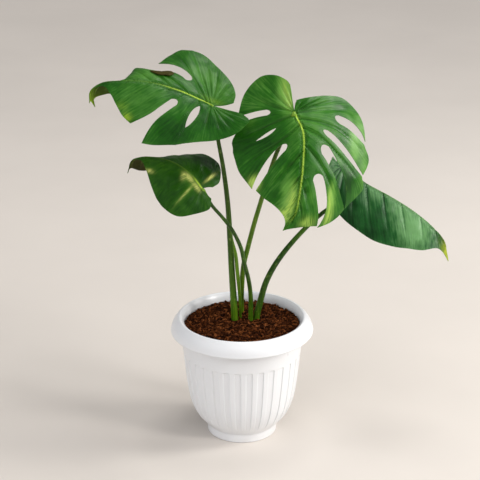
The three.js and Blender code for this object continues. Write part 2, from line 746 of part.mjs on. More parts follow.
// ---- assembly --------------------------------------------------------------------------------
const plant = new THREE.Group();
plant.name = 'potted_monstera';
plant.add(named('pot', pot(), WHITE, 0.35));
plant.add(named('soil', soil(), EARTH, 0.95));
for (const [name, stalk] of Object.entries(STALKS)) {
  plant.add(named(name, stalkGeometry(stalk), STALK_GREEN, 0.5));
}
plant.add(named('spear', tube(SPEAR.path.map(vec), SPEAR.radii), SPEAR_GREEN, 0.5));
for (const name of Object.keys(BLADES)) {
  plant.add(named(name, bladeGeometry(name), LEAF_GREEN, 0.4));
}

export default plant;
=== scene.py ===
"""Potted monstera: fine leaves, stalks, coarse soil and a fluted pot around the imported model.

Shapes are worked out in millimetres, in the model's own frame, and turned into metres when a mesh is made.
"""
import math
import random

import bpy
import numpy as np
from mathutils import Euler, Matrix, Vector, kdtree, noise
from mathutils.geometry import delaunay_2d_cdt


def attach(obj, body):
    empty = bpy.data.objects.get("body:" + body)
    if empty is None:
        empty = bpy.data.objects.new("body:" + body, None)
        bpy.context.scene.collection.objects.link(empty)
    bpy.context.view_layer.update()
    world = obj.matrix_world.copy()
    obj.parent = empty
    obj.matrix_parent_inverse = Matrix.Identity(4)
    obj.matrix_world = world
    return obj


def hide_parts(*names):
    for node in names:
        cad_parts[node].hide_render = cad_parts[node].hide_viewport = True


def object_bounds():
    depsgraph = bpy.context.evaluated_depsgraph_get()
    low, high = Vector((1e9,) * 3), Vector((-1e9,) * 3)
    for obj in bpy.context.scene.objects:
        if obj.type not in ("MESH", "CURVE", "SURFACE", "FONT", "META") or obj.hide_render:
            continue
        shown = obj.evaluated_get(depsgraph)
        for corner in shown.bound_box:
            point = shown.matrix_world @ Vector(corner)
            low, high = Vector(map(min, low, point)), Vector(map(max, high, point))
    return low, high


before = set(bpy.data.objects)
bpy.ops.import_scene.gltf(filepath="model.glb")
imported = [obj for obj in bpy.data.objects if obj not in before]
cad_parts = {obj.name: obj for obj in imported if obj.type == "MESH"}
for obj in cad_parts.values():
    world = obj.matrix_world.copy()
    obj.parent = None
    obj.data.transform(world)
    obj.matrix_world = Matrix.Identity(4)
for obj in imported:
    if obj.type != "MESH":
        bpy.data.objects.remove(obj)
CAD_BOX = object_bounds()

MM = 0.001
CURVE_SAMPLES = 60                       # between two points of a curve
SEED = 11

# ---- camera, floor and light -------------------------------------------------------------------
CAMERA_PLACE = (-0.00288, -2.14, 1.1318)
CAMERA_AIM = (-0.00288, 0, 0.28887)
LENS = 125.34                            # on a sensor 36 mm wide
FLOOR_SIZE = 16
FLOOR_COLOUR = (0.70, 0.655, 0.61)
WORLD_COLOUR = (1.0, 0.97, 0.95)
WORLD_STRENGTH = 0.2
# name: (the direction it shines from, strength, angle in degrees, colour, whether gloss shows it)
SUNS = {
    "key": ((1.75, -0.95, 0.9), 1.3, 14, (1.0, 0.97, 0.94), True),
    "front": ((0.3, -1.5, 2.2), 0.62, 40, (1.0, 0.98, 0.97), False),
    "fill": ((-1.9, -1.5, 0.9), 1.4, 70, (0.97, 0.98, 1.0), False),
}
# name: (place, aim, size, power in watts, colour)
LAMPS = {
    "side": ((2.0, 0.0, 1.15), (0, 0, 0.4), 0.7, 26, (1.0, 0.97, 0.92)),
    "top": ((0.25, 0.45, 2.1), (0, 0, 0.4), 0.8, 11, (1.0, 0.98, 0.95)),
    "high": ((1.35, -0.35, 1.9), (0, 0, 0.4), 0.6, 6, (0.96, 0.98, 1.0)),
}

# ---- pot ---------------------------------------------------------------------------------------
RIM_RADIUS = 100
POT_HEIGHT = 175
WALL = 2.6
FLOOR = 3.5
FOOT_RADIUS = 49.6
FOOT_HEIGHT = 12.5
FLUTES = 32
FLUTE_DEPTH = 1.2
FLUTE_BOTTOM = 19
FLUTE_FADE = 20                          # height over which a groove runs out at the foot
FLUTE_TOP = 124
FLUTE_WIDTH = 0.54                       # share of the pitch
FLUTE_CORNER = 2.4
FLUTE_EDGE = 0.9                         # width of a groove's side wall
FLUTE_PHASE = 2.5 / 4                    # middle of the first groove, in pitches from +X
DRAIN_HOLES = 6
DRAIN_RADIUS = 4
DRAIN_CIRCLE = 30
# Outlines as (radius, height).
BOWL = [
    (50.4, 14), (55, 19), (57.8, 22), (65.3, 32), (72.8, 50), (77.6, 75), (82.6, 121.5), (83, 124),
    (85.6, 153),
]
# Of the foot, each with its distance outwards from FOOT_RADIUS.
FOOT = [
    (-2.8, 0), (-1.6, 0.15), (-0.9, 0.6), (-0.6, 1.4), (-0.45, 4), (-0.1, 10), (0, FOOT_HEIGHT - 0.5),
    (0.1, FOOT_HEIGHT + 0.3), (0.3, 13.4),
]
COLLAR_ROOT = [(85.4, 151.6), (85.9, 152.7), (87.0, 153.3)]
COLLAR = [
    (96, 153.8), (98.6, 154.1), (99.8, 155), (RIM_RADIUS, 156.2), (99.5, 157.6), (98.9, 160.2),
    (97.6, 163.8), (95.4, 167.6), (92.6, 171.2), (90.2, 173.7), (88.6, 174.8), (87.3, POT_HEIGHT),
    (86.1, 174.7), (85.6, 173.8),
]

# ---- soil --------------------------------------------------------------------------------------
SOIL_EDGE = 163
SOIL_MIDDLE = 164
SOIL_RADIUS = 81
SOIL_BOTTOM = 5.5
SOIL_GAP = 0.75                          # to the pot's wall
SOIL_SIDES = 150
CHIPS = 3000
CHIP_SIZES = (0.9, 3.2)                  # half lengths, smallest and largest
FIBRES = 260
FIBRE_RADIUS = 0.32

# ---- stalks ------------------------------------------------------------------------------------
KNEE_LENGTH = 8
SHEATH = 0.3                             # share of a stalk with a wider, clasping base
STALK_STATIONS = 90
STALK_SIDES = 24
SPEAR_STATIONS = 80
SPEAR_SIDES = 28
# Centre line from inside the soil up to the blade, and radii at equal steps along it.
STALKS = {
    "stalk_upper_left": {
        "blade": "blade_upper_left", "radii": (5.4, 2.3), "young": 0.25,
        "path": [
            (-8, 11, 122), (-10, 12, 163), (-14, 14, 232), (-17, 17, 291), (-20, 18, 339), (-26, 16, 390),
            (-32.5, 9, 431),
        ],
    },
    "stalk_front": {
        "blade": "blade_front", "radii": (3.9, 2.7), "young": 0.8,
        "path": [
            (-1, 40, 122), (-1, 36, 163), (-0.5, 31, 203), (2.5, 27, 242), (7.5, 25, 265), (15.5, 23, 299),
            (24.5, 20, 333), (45, 12, 406),
        ],
    },
    "stalk_lower_left": {
        "blade": "blade_lower_left", "radii": (3.6, 2.2), "young": 0.1,
        "path": [
            (11, 10, 122), (12, 7, 163), (12, 3, 204), (9, -1, 230), (3, -5, 257), (-1.5, -8, 280),
            (-13.5, -13, 308.5), (-26, -18, 328), (-41, -22, 348),
        ],
    },
    "stalk_right": {
        "blade": "blade_right", "radii": (5.2, 2.2), "young": 0.0,
        "path": [
            (21, 15, 122), (20, 13, 163), (26, 14.5, 192), (33.5, 16, 219), (45, 17.5, 243),
            (61.5, 20, 267), (88, 27, 296), (113, 35, 316.5), (127, 37, 326.5), (136, 39, 347),
        ],
    },
}
# The young leaf, still rolled: slim at the soil, widest below its tip.
SPEAR = {
    "radii": (1.7, 1.8, 2.3, 2.8, 2.6, 0.4),
    "path": [
        (0, 20, 122), (-2.3, 17, 167), (-3.6, 13, 205), (-6.8, 10.5, 241), (-8.4, 9.5, 260),
        (-11.5, 8.5, 278), (-14.5, 8, 296),
    ],
}

# ---- blades ------------------------------------------------------------------------------------
BLADE_THICKNESS = 0.8
RIB_DEPTH = 2.0                          # how far the midrib stands out below, at the stalk
RIB_HALF_WIDTH = 3.0
RIB_CREST = (0.55, 0.9)                  # height and half width of the rib above, and of
RIB_CHANNEL = (0.7, 3.2)                 # the channel that it lies in
VEIN_DEPTH = 0.55                        # how far the other veins stand out below
VEIN_WIDTH = 1.3
FIRST_STATIONS = (0, 0.006, 0.013, 0.022, 0.034, 0.05)
EVEN_STATIONS = 26                       # on the rest of a vein
STALK_AT = 1                             # the point of a blade's spine that its stalk meets
HEAD_SHARES = (0.012, 0.04)              # of a cut's length, for the points that round its head
RAY_SPACING = 2.6                        # between rays at the margin
RIB_SPACING = 1.6
RIB_ROWS = (0.7, 1.5, 2.4, 3.6)          # distances of the rows of points that shape the rib
FURROW_DEPTH = 0.7
FURROW_WIDTH = 2.1
PUFF_HEIGHT = 0.5                        # how far the blade swells between its veins
WAVE_HEIGHT = 1.2
WAVE_LENGTH = 34
PUCKER_HEIGHT = 1.3
PUCKER_LENGTH = 13
ROLL_RADIUS = 1.3
ROLL_TURN = 183                          # degrees that a folded margin turns back
ROLL_REACH = 9                           # how far it then lies over the blade
ROLL_INSET = 3.5                         # of the fold, from the flat blade's margin


def vein(root, bend, end, cut=None):
    """A vein leaves the midrib at root, swings past bend and ends on the margin at end."""
    return {"root": root, "bend": bend, "end": end, "cut": cut}


def slit(start, middle, end, lean=0):
    """A cut along a vein, open at the margin: where it starts, and its width halfway and at the end."""
    return {"from": start, "to": 1, "middle": middle, "end": end, "lean": lean}


def hole(start, stop, middle):
    """A closed window along a vein."""
    return {"from": start, "to": stop, "middle": middle, "end": 0, "lean": 0}


# Blades as in the model: drawn flat in [along, across] and then bent along the spine. A frame is
# (along, across direction, up direction). A bend is (along, plus half, minus half), each half with
# its slope at the midrib and the slope gained in 100 mm, in degrees.
BLADES = {
    "blade_upper_left": {
        "spine": [
            (-8, -16, 478), (-40, 0, 483), (-83, 14, 498), (-124, 24, 507), (-162, 32, 507),
            (-190, 34, 503), (-205, 30, 493), (-207, 24, 478),
        ],
        "frames": [
            (-60, (-0.25, 0.85, 0.4), (-0.1, -0.45, 0.9)),
            (0, (-0.15, 0.88, 0.43), (-0.1, -0.45, 0.9)),
            (110, (0, 0.9, 0.43), (-0.05, -0.43, 0.9)),
            (190, (0, 0.9, 0.43), (-0.5, -0.4, 0.8)),
        ],
        "bends": [
            (-60, (-5, 10), (5, 36)), (20, (-8, 12), (5, 36)), (60, (-6, 30), (5, 36)),
            (90, (-2, 45), (5, 36)), (112, (0, 70), (5, 36)), (127, (28, 75), (5, 36)),
            (140, (65, 55), (6, 37)), (193, (85, 40), (20, 40)),
        ],
        "plus": [
            vein(0, (-20, 5), (-37, 17)), vein(0, (-25, 18), (-46, 38)), vein(0, (-22, 34), (-45, 64)),
            vein(0, (-14, 44), (-30, 84)), vein(0, (-4, 50), (-8, 98)), vein(3, (6, 52), (18, 96)),
            vein(8, (26, 50), (54, 82)), vein(14, (28, 52), (77, 38), slit(0.36, 17, 22)),
            vein(34, (62, 23), (92, 28)), vein(58, (86, 26), (114, 38)), vein(86, (114, 27), (138, 44)),
            vein(112, (136, 18), (154, 27)), vein(138, (156, 12), (167, 20)),
            vein(158, (174, 8), (183, 11)), vein(168, (182, 8), (190, 15)), vein(175, (186, 3), (189, 4)),
            vein(180, (187, 0), (194, 0)),
        ],
        "minus": [
            vein(0, (-22, 0), (-45, 1)), vein(0, (-30, 6), (-53, 9)), vein(0, (-22, 14), (-43, 22)),
            vein(0, (-12, 24), (-27, 38)), vein(0, (-2, 30), (-8, 51)), vein(2, (14, 34), (22, 67)),
            vein(12, (26, 20), (60, 86), hole(0.245, 0.76, 8.5)), vein(18, (42, 40), (86, 93)),
            vein(37, (64, 30), (110, 80), slit(0.27, 10, 29, 9)), vein(60, (98, 36), (129, 56)),
            vein(90, (118, 26), (138, 39)), vein(120, (135, 11), (146, 21)), vein(144, (151, 3), (158, 5)),
            vein(180, (187, 0), (194, 0)),
        ],
    },
    "blade_front": {
        "spine": [
            (62, 6, 534), (70, -10, 476), (81, -22, 452), (81, -40, 414), (77, -54, 381), (70, -64, 350),
            (54, -68, 329),
        ],
        "frames": [
            (-60, (-0.98, -0.08, -0.12), (0.06, -0.97, 0.24)),
            (0, (-0.96, -0.13, -0.22), (0.03, -0.92, 0.4)),
            (60, (-0.99, 0, 0.04), (0.02, -0.91, 0.42)),
            (120, (-0.99, 0.03, 0.1), (0, -0.95, 0.3)),
            (170, (-0.9, 0.08, 0.35), (0, -0.98, 0.2)),
        ],
        "bends": [
            (-60, (8, 14), (15, 40)), (0, (6, 12), (12, 34)), (80, (6, 16), (8, 36)),
            (150, (10, 30), (10, 50)),
        ],
        "plus": [
            vein(0, (-17, -1), (-37, 1)), vein(0, (-22, 1), (-44, 6)), vein(0, (-28, 8), (-52, 20)),
            vein(0, (-26, 22), (-52, 40)), vein(0, (-16, 34), (-36, 63)),
            vein(1, (-14, 38), (-8, 76), slit(0.42, 7, 9)), vein(4, (8, 45), (24, 96)),
            vein(5, (12, 38), (58, 97), hole(0.385, 0.715, 5)), vein(18, (58, 62), (88, 86)),
            vein(26, (58, 47), (113, 63), slit(0.27, 10.5, 6)), vein(54, (88, 30), (124, 48)),
            vein(84, (112, 16), (134, 31)), vein(112, (132, 10), (146, 14)), vein(138, (148, 3), (157, 4)),
            vein(155, (162, 0), (168, 0)),
        ],
        "minus": [
            vein(0, (-8, 2), (-15, 6)), vein(0, (-10, 12), (-15, 24)), vein(0, (-8, 28), (-12, 54)),
            vein(0, (-4, 42), (-4, 80)), vein(2, (4, 50), (16, 97)),
            vein(4, (16, 69), (43, 95), slit(0.44, 10.5, 4)), vein(10, (30, 60), (60, 103)),
            vein(14, (33, 42), (80, 92), slit(0.33, 7, 3)), vein(23, (54, 54), (101, 97)),
            vein(28, (56, 47), (127, 72), slit(0.28, 13.5, 1)), vein(46, (80, 38), (139, 60)),
            vein(62, (84, 30), (150, 39), slit(0.37, 15, 2, 2)), vein(96, (132, 18), (151, 29)),
            vein(120, (142, 10), (156, 16)), vein(142, (154, 3), (162, 6)), vein(155, (162, 0), (168, 0)),
        ],
    },
    "blade_lower_left": {
        "spine": [
            (-39, -36, 356), (-54, -26, 374), (-70, -10, 389), (-92, 4, 400), (-117, 12, 405),
            (-136, 14, 405), (-151, 12, 400), (-156, 6, 386),
        ],
        "frames": [
            (-35, (0.75, 0.5, 0.3), (0.1, -0.6, 0.78)),
            (0, (0.7, 0.58, 0.35), (0.1, -0.6, 0.78)),
            (40, (0.45, 0.75, 0.5), (0, -0.6, 0.78)),
            (80, (0.1, 0.82, 0.55), (0, -0.6, 0.78)),
            (125, (0, 0.85, 0.5), (-0.4, -0.6, 0.7)),
        ],
        "bends": [
            (-40, (0, 40), (8, 36)), (0, (-9, 43), (8, 36)), (28, (0, 65), (8, 36)),
            (60, (24, 75), (8, 36)), (95, (60, 60), (8, 36)), (125, (80, 60), (15, 40)),
        ],
        "plus": [
            vein(0, (-3, 7), (-8, 13)), vein(0, (-5, 12), (-8, 24)), vein(0, (-2, 18), (-1, 34)),
            vein(0, (2, 26), (9, 43)), vein(3, (12, 30), (20, 47)), vein(12, (26, 34), (36, 52)),
            vein(26, (44, 34), (60, 53)), vein(44, (66, 29), (84, 44)), vein(68, (88, 22), (103, 39)),
            vein(92, (106, 14), (117, 26)), vein(108, (118, 3), (127, 4)), vein(118, (126, 0), (136, 0)),
        ],
        "minus": [
            vein(0, (-10, 0), (-19, -2)), vein(0, (-18, 4), (-29, 9)), vein(0, (-14, 16), (-22, 29)),
            vein(0, (-6, 28), (-9, 48)), vein(2, (6, 34), (12, 57)), vein(10, (28, 38), (42, 62)),
            vein(24, (48, 36), (70, 59)), vein(44, (70, 24), (85, 42)), vein(68, (84, 12), (95, 21)),
            vein(92, (100, 2), (106, 3)), vein(118, (126, 0), (136, 0)),
        ],
    },
    "blade_right": {
        "spine": [
            (116, 44, 397), (139, 40, 382), (172, 36, 359), (204, 32, 342), (235, 28, 323), (260, 22, 304),
            (280, 14, 282), (287, 8, 253),
        ],
        "frames": [
            (-35, (-0.42, -0.76, -0.5), (0.36, -0.65, 0.68)),
            (120, (-0.45, -0.77, -0.45), (0.36, -0.62, 0.7)),
            (190, (-0.6, -0.75, -0.25), (0.5, -0.62, 0.6)),
        ],
        "bends": [
            (-40, (10, 40), (25, 60)), (0, (10, 40), (50, 55)), (80, (10, 40), (62, 45)),
            (160, (10, 50), (65, 45)),
        ],
        "plus": [
            vein(0, (-10, 0), (-19, 1)), vein(0, (-12, 6), (-17, 12)), vein(0, (-8, 14), (-8, 25)),
            vein(0, (-2, 26), (6, 41)), vein(3, (14, 34), (24, 56)), vein(18, (42, 44), (56, 64)),
            vein(40, (70, 46), (90, 67)), vein(66, (96, 40), (117, 60)), vein(96, (122, 32), (142, 48)),
            vein(128, (148, 20), (164, 35)), vein(156, (168, 8), (180, 13)), vein(186, (196, 0), (206, 0)),
        ],
        "minus": [
            vein(0, (-10, 0), (-19, 1)), vein(0, (-12, 6), (-18, 11)), vein(0, (-10, 18), (-15, 29)),
            vein(0, (-6, 30), (-8, 48)), vein(3, (14, 34), (18, 56)), vein(18, (42, 40), (56, 58)),
            vein(40, (70, 42), (90, 60)), vein(66, (96, 36), (117, 54)), vein(96, (122, 28), (142, 42)),
            vein(128, (148, 16), (164, 28)), vein(156, (168, 6), (182, 9)), vein(186, (196, 0), (206, 0)),
        ],
    },
}
# How each blade looks: its dark, middle and light green, the light green also the colour of painted
# sheen, the colour below, where along it the midrib starts to fade and where it has faded, the strength
# of its furrows and puckers, how much its veins are tinted and how much their lines are darkened, a painted
# shade in the furrows. A spot is (along, across, half length, half width, amount): tone spots are lighter
# or darker, mostly painted sheen and painted shade with some variegation; lime spots turn to the pale
# colour, as yellow patches and tips and as painted highlights. roll gives two corners, (along, across), of
# the box whose margin is folded back, and fold the colour of the folded strip.
LEAF_LOOKS = {
    "blade_upper_left": {
        "greens": ((0.003, 0.036, 0.002), (0.011, 0.092, 0.003), (0.075, 0.225, 0.032)),
        "below": (0.075, 0.130, 0.012), "rib": (45, 90),
        "furrows": 1.3, "puckers": 0.25, "veins": 0.25, "lines": 0.06,
        "tone": [
            (70, 10, 60, 14, 0.10), (54, -70, 26, 24, -0.13), (0, -30, 20, 14, -0.05),
            (122, -30, 20, 26, 0.10), (-10, 50, 26, 26, 0.10),
        ],
        "pale": (0.25, 0.40, 0.02),
        "lime_and_sheen": [
            (122, -59, 6, 6, 1.2), (130, -42, 10, 7, 0.3), (186, 5, 13, 16, 1.1), (-2, 8, 16, 5, 0.35),
        ],
        "roll": ((52, 15), (92, 34)), "fold": (0.055, 0.045, 0.004),
    },
    "blade_front": {
        "greens": ((0.003, 0.042, 0.001), (0.014, 0.110, 0.003), (0.105, 0.285, 0.040)),
        "below": (0.060, 0.130, 0.010), "rib": (120, 165),
        "furrows": 2.0, "puckers": 0.3, "veins": 0.12, "lines": 0.13,
        "tone": [
            (-30, 8, 24, 9, 0.5), (40, 70, 30, 30, -0.10), (116, 16, 24, 9, 0.30), (42, -76, 20, 9, 0.35),
            (30, -92, 14, 8, 0.2), (70, -94, 20, 8, 0.20), (92, -68, 22, 11, -0.15),
            (20, -60, 20, 20, -0.04), (110, -46, 26, 5, 0.3),
        ],
        "pale": (0.36, 0.54, 0.09),
        "lime_and_sheen": [
            (104, 64, 9, 7, 2.2), (112, 9, 14, 5, 0.5), (127, 10, 14, 6, 0.9), (142, 13, 8, 7, 1.2),
            (151, 7, 6, 4, 0.8), (148, -22, 8, 9, 0.8), (108, -43, 10, 3, 0.6), (122, -46, 11, 4, 0.9),
            (137, -48, 10, 5, 0.9), (-31, 7, 16, 5, 0.8), (-13, 4, 8, 4, 0.6),
        ],
    },
    "blade_lower_left": {
        "greens": ((0.003, 0.030, 0.001), (0.012, 0.068, 0.002), (0.045, 0.145, 0.008)),
        "below": (0.060, 0.062, 0.004), "rib": (10, 24),
        "furrows": 0.35, "puckers": 1.0, "veins": 0.1, "lines": 0.08,
        "tone": [(26, -4, 12, 8, 0.25), (12, -22, 6, 20, 0.25), (60, -40, 30, 14, -0.06)],
        "pale": (0.52, 0.56, 0.15),
        "lime_and_sheen": [
            (25, -5, 9, 3, 1.7), (33, -10, 4, 5, 1.0), (4, 19, 2, 9, 1.4), (5, -5, 6, 3, 1.3),
            (12, -24, 2, 14, 1.0), (90, -22, 6, 3, 1.0),
        ],
    },
    "blade_right": {
        "greens": ((0.001, 0.026, 0.003), (0.008, 0.075, 0.012), (0.120, 0.280, 0.100)),
        "below": (0.060, 0.110, 0.010), "rib": (0, 40),
        "furrows": 0.9, "puckers": 0.5, "veins": 0.0, "lines": 0.2,
        "tone": [(132, 24, 20, 26, 0.32), (36, 52, 44, 20, -0.16), (60, 6, 50, 18, 0.12)],
        "pale": (0.30, 0.36, 0.015),
        "lime_and_sheen": [(196, 0, 16, 9, 2.2)],
    },
}
LIME = (0.42, 0.62, 0.06)
VEIN_GREEN = (0.09, 0.26, 0.03)


# ---- small helpers -----------------------------------------------------------------------------
def mix(a, b, t):
    return a + (b - a) * t


def smoothstep(low, high, x):
    t = np.clip((x - low) / (high - low), 0, 1)
    return t * t * (3 - 2 * t)


def bell(x, width):
    """A smooth bump, 1 high where x is 0."""
    return np.exp(-(x / width) ** 2)


def unit(vectors):
    vectors = np.asarray(vectors, float)
    return vectors / np.maximum(np.linalg.norm(vectors, axis=-1, keepdims=True), 1e-12)


def noise_at(points, size, octaves=3, offset=0.0):
    """Smooth noise from about -1 to 1 at each point, with features of that size."""
    shift = Vector((offset, 7.3, 2.1))
    return np.array([noise.fractal(Vector(p) / size + shift, 1.0, 2.0, octaves) for p in points])


def curve_through(points, per_span=CURVE_SAMPLES):
    """A centripetal Catmull-Rom curve, as in the model, with its length at each sample."""
    p = np.asarray(points, float)
    p = np.vstack([2 * p[0] - p[1], p, 2 * p[-1] - p[-2]])
    samples = []
    for a, b, c, d in zip(p, p[1:], p[2:], p[3:]):
        knots = [max(np.linalg.norm(v) ** 0.5, 1e-4) for v in (b - a, c - b, d - c)]
        start = ((b - a) / knots[0] - (c - a) / (knots[0] + knots[1]) + (c - b) / knots[1]) * knots[1]
        stop = ((c - b) / knots[1] - (d - b) / (knots[1] + knots[2]) + (d - c) / knots[2]) * knots[1]
        t = (np.arange(per_span) / per_span)[:, None]
        samples.append((2 * t**3 - 3 * t**2 + 1) * b + (t**3 - 2 * t**2 + t) * start
                       + (3 * t**2 - 2 * t**3) * c + (t**3 - t**2) * stop)
    samples = np.vstack([*samples, p[-2]])
    lengths = np.concatenate([[0], np.cumsum(np.linalg.norm(np.diff(samples, axis=0), axis=1))])
    return samples, lengths


def at_length(samples, lengths, where):
    """Points and directions on a sampled curve."""
    points = np.stack([np.interp(where, lengths, samples[:, i]) for i in range(3)], axis=-1)
    slopes = np.gradient(samples, lengths, axis=0)
    return points, unit(np.stack([np.interp(where, lengths, slopes[:, i]) for i in range(3)], axis=-1))


def eased(keys, values, x):
    """Smooth interpolation through (key, value) pairs, without overshoot."""
    keys = np.asarray(keys, float)
    values = np.asarray(values, float)
    steps = np.diff(keys)
    slopes = np.diff(values) / steps
    rising = slopes[:-1] * slopes[1:] > 0
    inner = np.zeros(len(slopes) - 1)
    inner[rising] = 2 / (1 / slopes[:-1][rising] + 1 / slopes[1:][rising])
    tangents = np.concatenate([[0], inner, [0]])
    x = np.clip(x, keys[0], keys[-1])
    k = np.clip(np.searchsorted(keys, x, side="right") - 1, 0, len(steps) - 1)
    t = (x - keys[k]) / steps[k]
    return (values[k] * (1 + 2 * t) * (1 - t) ** 2 + values[k + 1] * t * t * (3 - 2 * t)
            + steps[k] * (tangents[k] * t * (1 - t) ** 2 - tangents[k + 1] * t * t * (1 - t)))


def make_object(name, points, faces, materials, face_materials=None, attributes=None, sharp=None):
    """A mesh object from points in millimetres."""
    mesh = bpy.data.meshes.new(name)
    mesh.from_pydata((np.asarray(points, float) * MM).tolist(), [], faces)
    for material in materials:
        mesh.materials.append(material)
    if face_materials is not None:
        mesh.polygons.foreach_set("material_index", face_materials)
    for key, values in (attributes or {}).items():
        values = np.asarray(values, np.float32)
        kind, field = ("FLOAT_VECTOR", "vector") if values.ndim == 2 else ("FLOAT", "value")
        mesh.attributes.new(key, kind, "POINT").data.foreach_set(field, values.ravel())
    mesh.validate()
    mesh.shade_smooth()
    if sharp is not None:
        mesh.set_sharp_from_angle(angle=math.radians(sharp))
    mesh.update()
    thing = bpy.data.objects.new(name, mesh)
    bpy.context.scene.collection.objects.link(thing)
    return thing


def ring_at(radii, angles, z):
    return np.stack([radii * np.cos(angles), radii * np.sin(angles), np.full(len(angles), float(z))], axis=1)


def skin(rings):
    """Points and faces of a row of equal rings, closed by a point at both ends."""
    sides = len(rings[0])
    points = np.vstack([np.mean(rings[0], axis=0), *rings, np.mean(rings[-1], axis=0)])
    last = 1 + (len(rings) - 1) * sides
    pairs = [(i, (i + 1) % sides) for i in range(sides)]
    faces = [(k + i, k + j, k + sides + j, k + sides + i) for k in range(1, last, sides) for i, j in pairs]
    for i, j in pairs:
        faces.append((0, 1 + j, 1 + i))
        faces.append((last + sides, last + i, last + j))
    return points, faces


def along_rings(values, sides):
    """One value a ring, spread over the points that skin makes."""
    return np.concatenate([values[:1], np.repeat(values, sides), values[-1:]])


def tube(path, radius, stations, sides, section=None):
    """A tube along a path, shaped by radius(t) and section(t, angle).

    Angle 0 looks sideways and 90 degrees to the front.
    """
    samples, lengths = curve_through(path)
    t = np.linspace(0, 1, stations + 1)
    centres, along = at_length(samples, lengths, t * lengths[-1])
    side = unit(np.cross((0, -1, 0), along))
    out = np.cross(along, side)
    angles = np.arange(sides) / sides * math.tau
    radii = radius(t)
    rings = []
    for k in range(stations + 1):
        r = radii[k] * (section(t[k], angles) if section else np.ones(sides))
        rings.append(
            centres[k] + np.outer(r * np.cos(angles), side[k]) + np.outer(r * np.sin(angles), out[k]))
    return skin(rings)


def placed(thing, node):
    """Hangs a finished piece under the root and hides the model's part that it stands for."""
    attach(thing, "root")
    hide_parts(node)


# ---- materials ---------------------------------------------------------------------------------
class Nodes:
    """A few short calls for building a material's nodes."""

    def __init__(self, name):
        self.material = bpy.data.materials.new(name)
        self.material.use_nodes = True
        self.tree = self.material.node_tree
        self.shader = self.tree.nodes["Principled BSDF"]
        self.position = self.add("ShaderNodeTexCoord").outputs["Object"]

    def add(self, kind, **settings):
        node = self.tree.nodes.new(kind)
        for key, value in settings.items():
            setattr(node, key, value)
        return node

    def link(self, source, target):
        """Joins a socket to another one, or sets a number or colour on it."""
        if isinstance(source, tuple) and len(source) < len(target.default_value):
            source = (*source, 1)
        if isinstance(source, bpy.types.NodeSocket):
            self.tree.links.new(source, target)
        else:
            target.default_value = source

    def attribute(self, name):
        return self.add("ShaderNodeAttribute", attribute_name=name).outputs["Fac"]

    def noise(self, scale, detail=4.0, roughness=0.55, stretch=None, vector=None):
        node = self.add("ShaderNodeTexNoise")
        for key, number in (("Scale", scale), ("Detail", detail), ("Roughness", roughness)):
            node.inputs[key].default_value = number
        source = vector or self.position
        if stretch:
            mapping = self.add("ShaderNodeMapping")
            mapping.inputs["Scale"].default_value = stretch
            self.link(source, mapping.inputs["Vector"])
            source = mapping.outputs["Vector"]
        self.link(source, node.inputs["Vector"])
        return node.outputs["Fac"]

    def math(self, operation, a, b, clamp=False):
        node = self.add("ShaderNodeMath", operation=operation, use_clamp=clamp)
        self.link(a, node.inputs[0])
        self.link(b, node.inputs[1])
        return node.outputs[0]

    def sum(self, a, share_a, b, share_b):
        return self.math("ADD", self.math("MULTIPLY", a, share_a), self.math("MULTIPLY", b, share_b))

    def range(self, value, low, high, to_low=0.0, to_high=1.0):
        node = self.add("ShaderNodeMapRange")
        self.link(value, node.inputs["Value"])
        for key, number in zip(("From Min", "From Max", "To Min", "To Max"), (low, high, to_low, to_high)):
            node.inputs[key].default_value = number
        return node.outputs["Result"]

    def ramp(self, value, *stops):
        node = self.add("ShaderNodeValToRGB")
        points = node.color_ramp.elements
        while len(points) < len(stops):
            points.new(0.5)
        for point, (place, colour) in zip(points, stops):
            point.position = place
            point.color = (*colour, 1)
        self.link(value, node.inputs["Fac"])
        return node.outputs["Color"]

    def blend(self, factor, a, b):
        node = self.add("ShaderNodeMix", data_type="RGBA")
        for place, source in zip((0, 6, 7), (factor, a, b)):
            self.link(source, node.inputs[place])
        return node.outputs[2]

    def bump(self, *layers):
        """Stacks (height, distance in mm) layers of fine relief."""
        normal = None
        for height, distance in layers:
            node = self.add("ShaderNodeBump")
            node.inputs["Distance"].default_value = distance * MM
            self.link(height, node.inputs["Height"])
            if normal:
                self.link(normal, node.inputs["Normal"])
            normal = node.outputs["Normal"]
        self.link(normal, self.shader.inputs["Normal"])

    def finish(self, **sockets):
        for key, value in sockets.items():
            self.link(value, self.shader.inputs[key.replace("_", " ")])
        return self.material


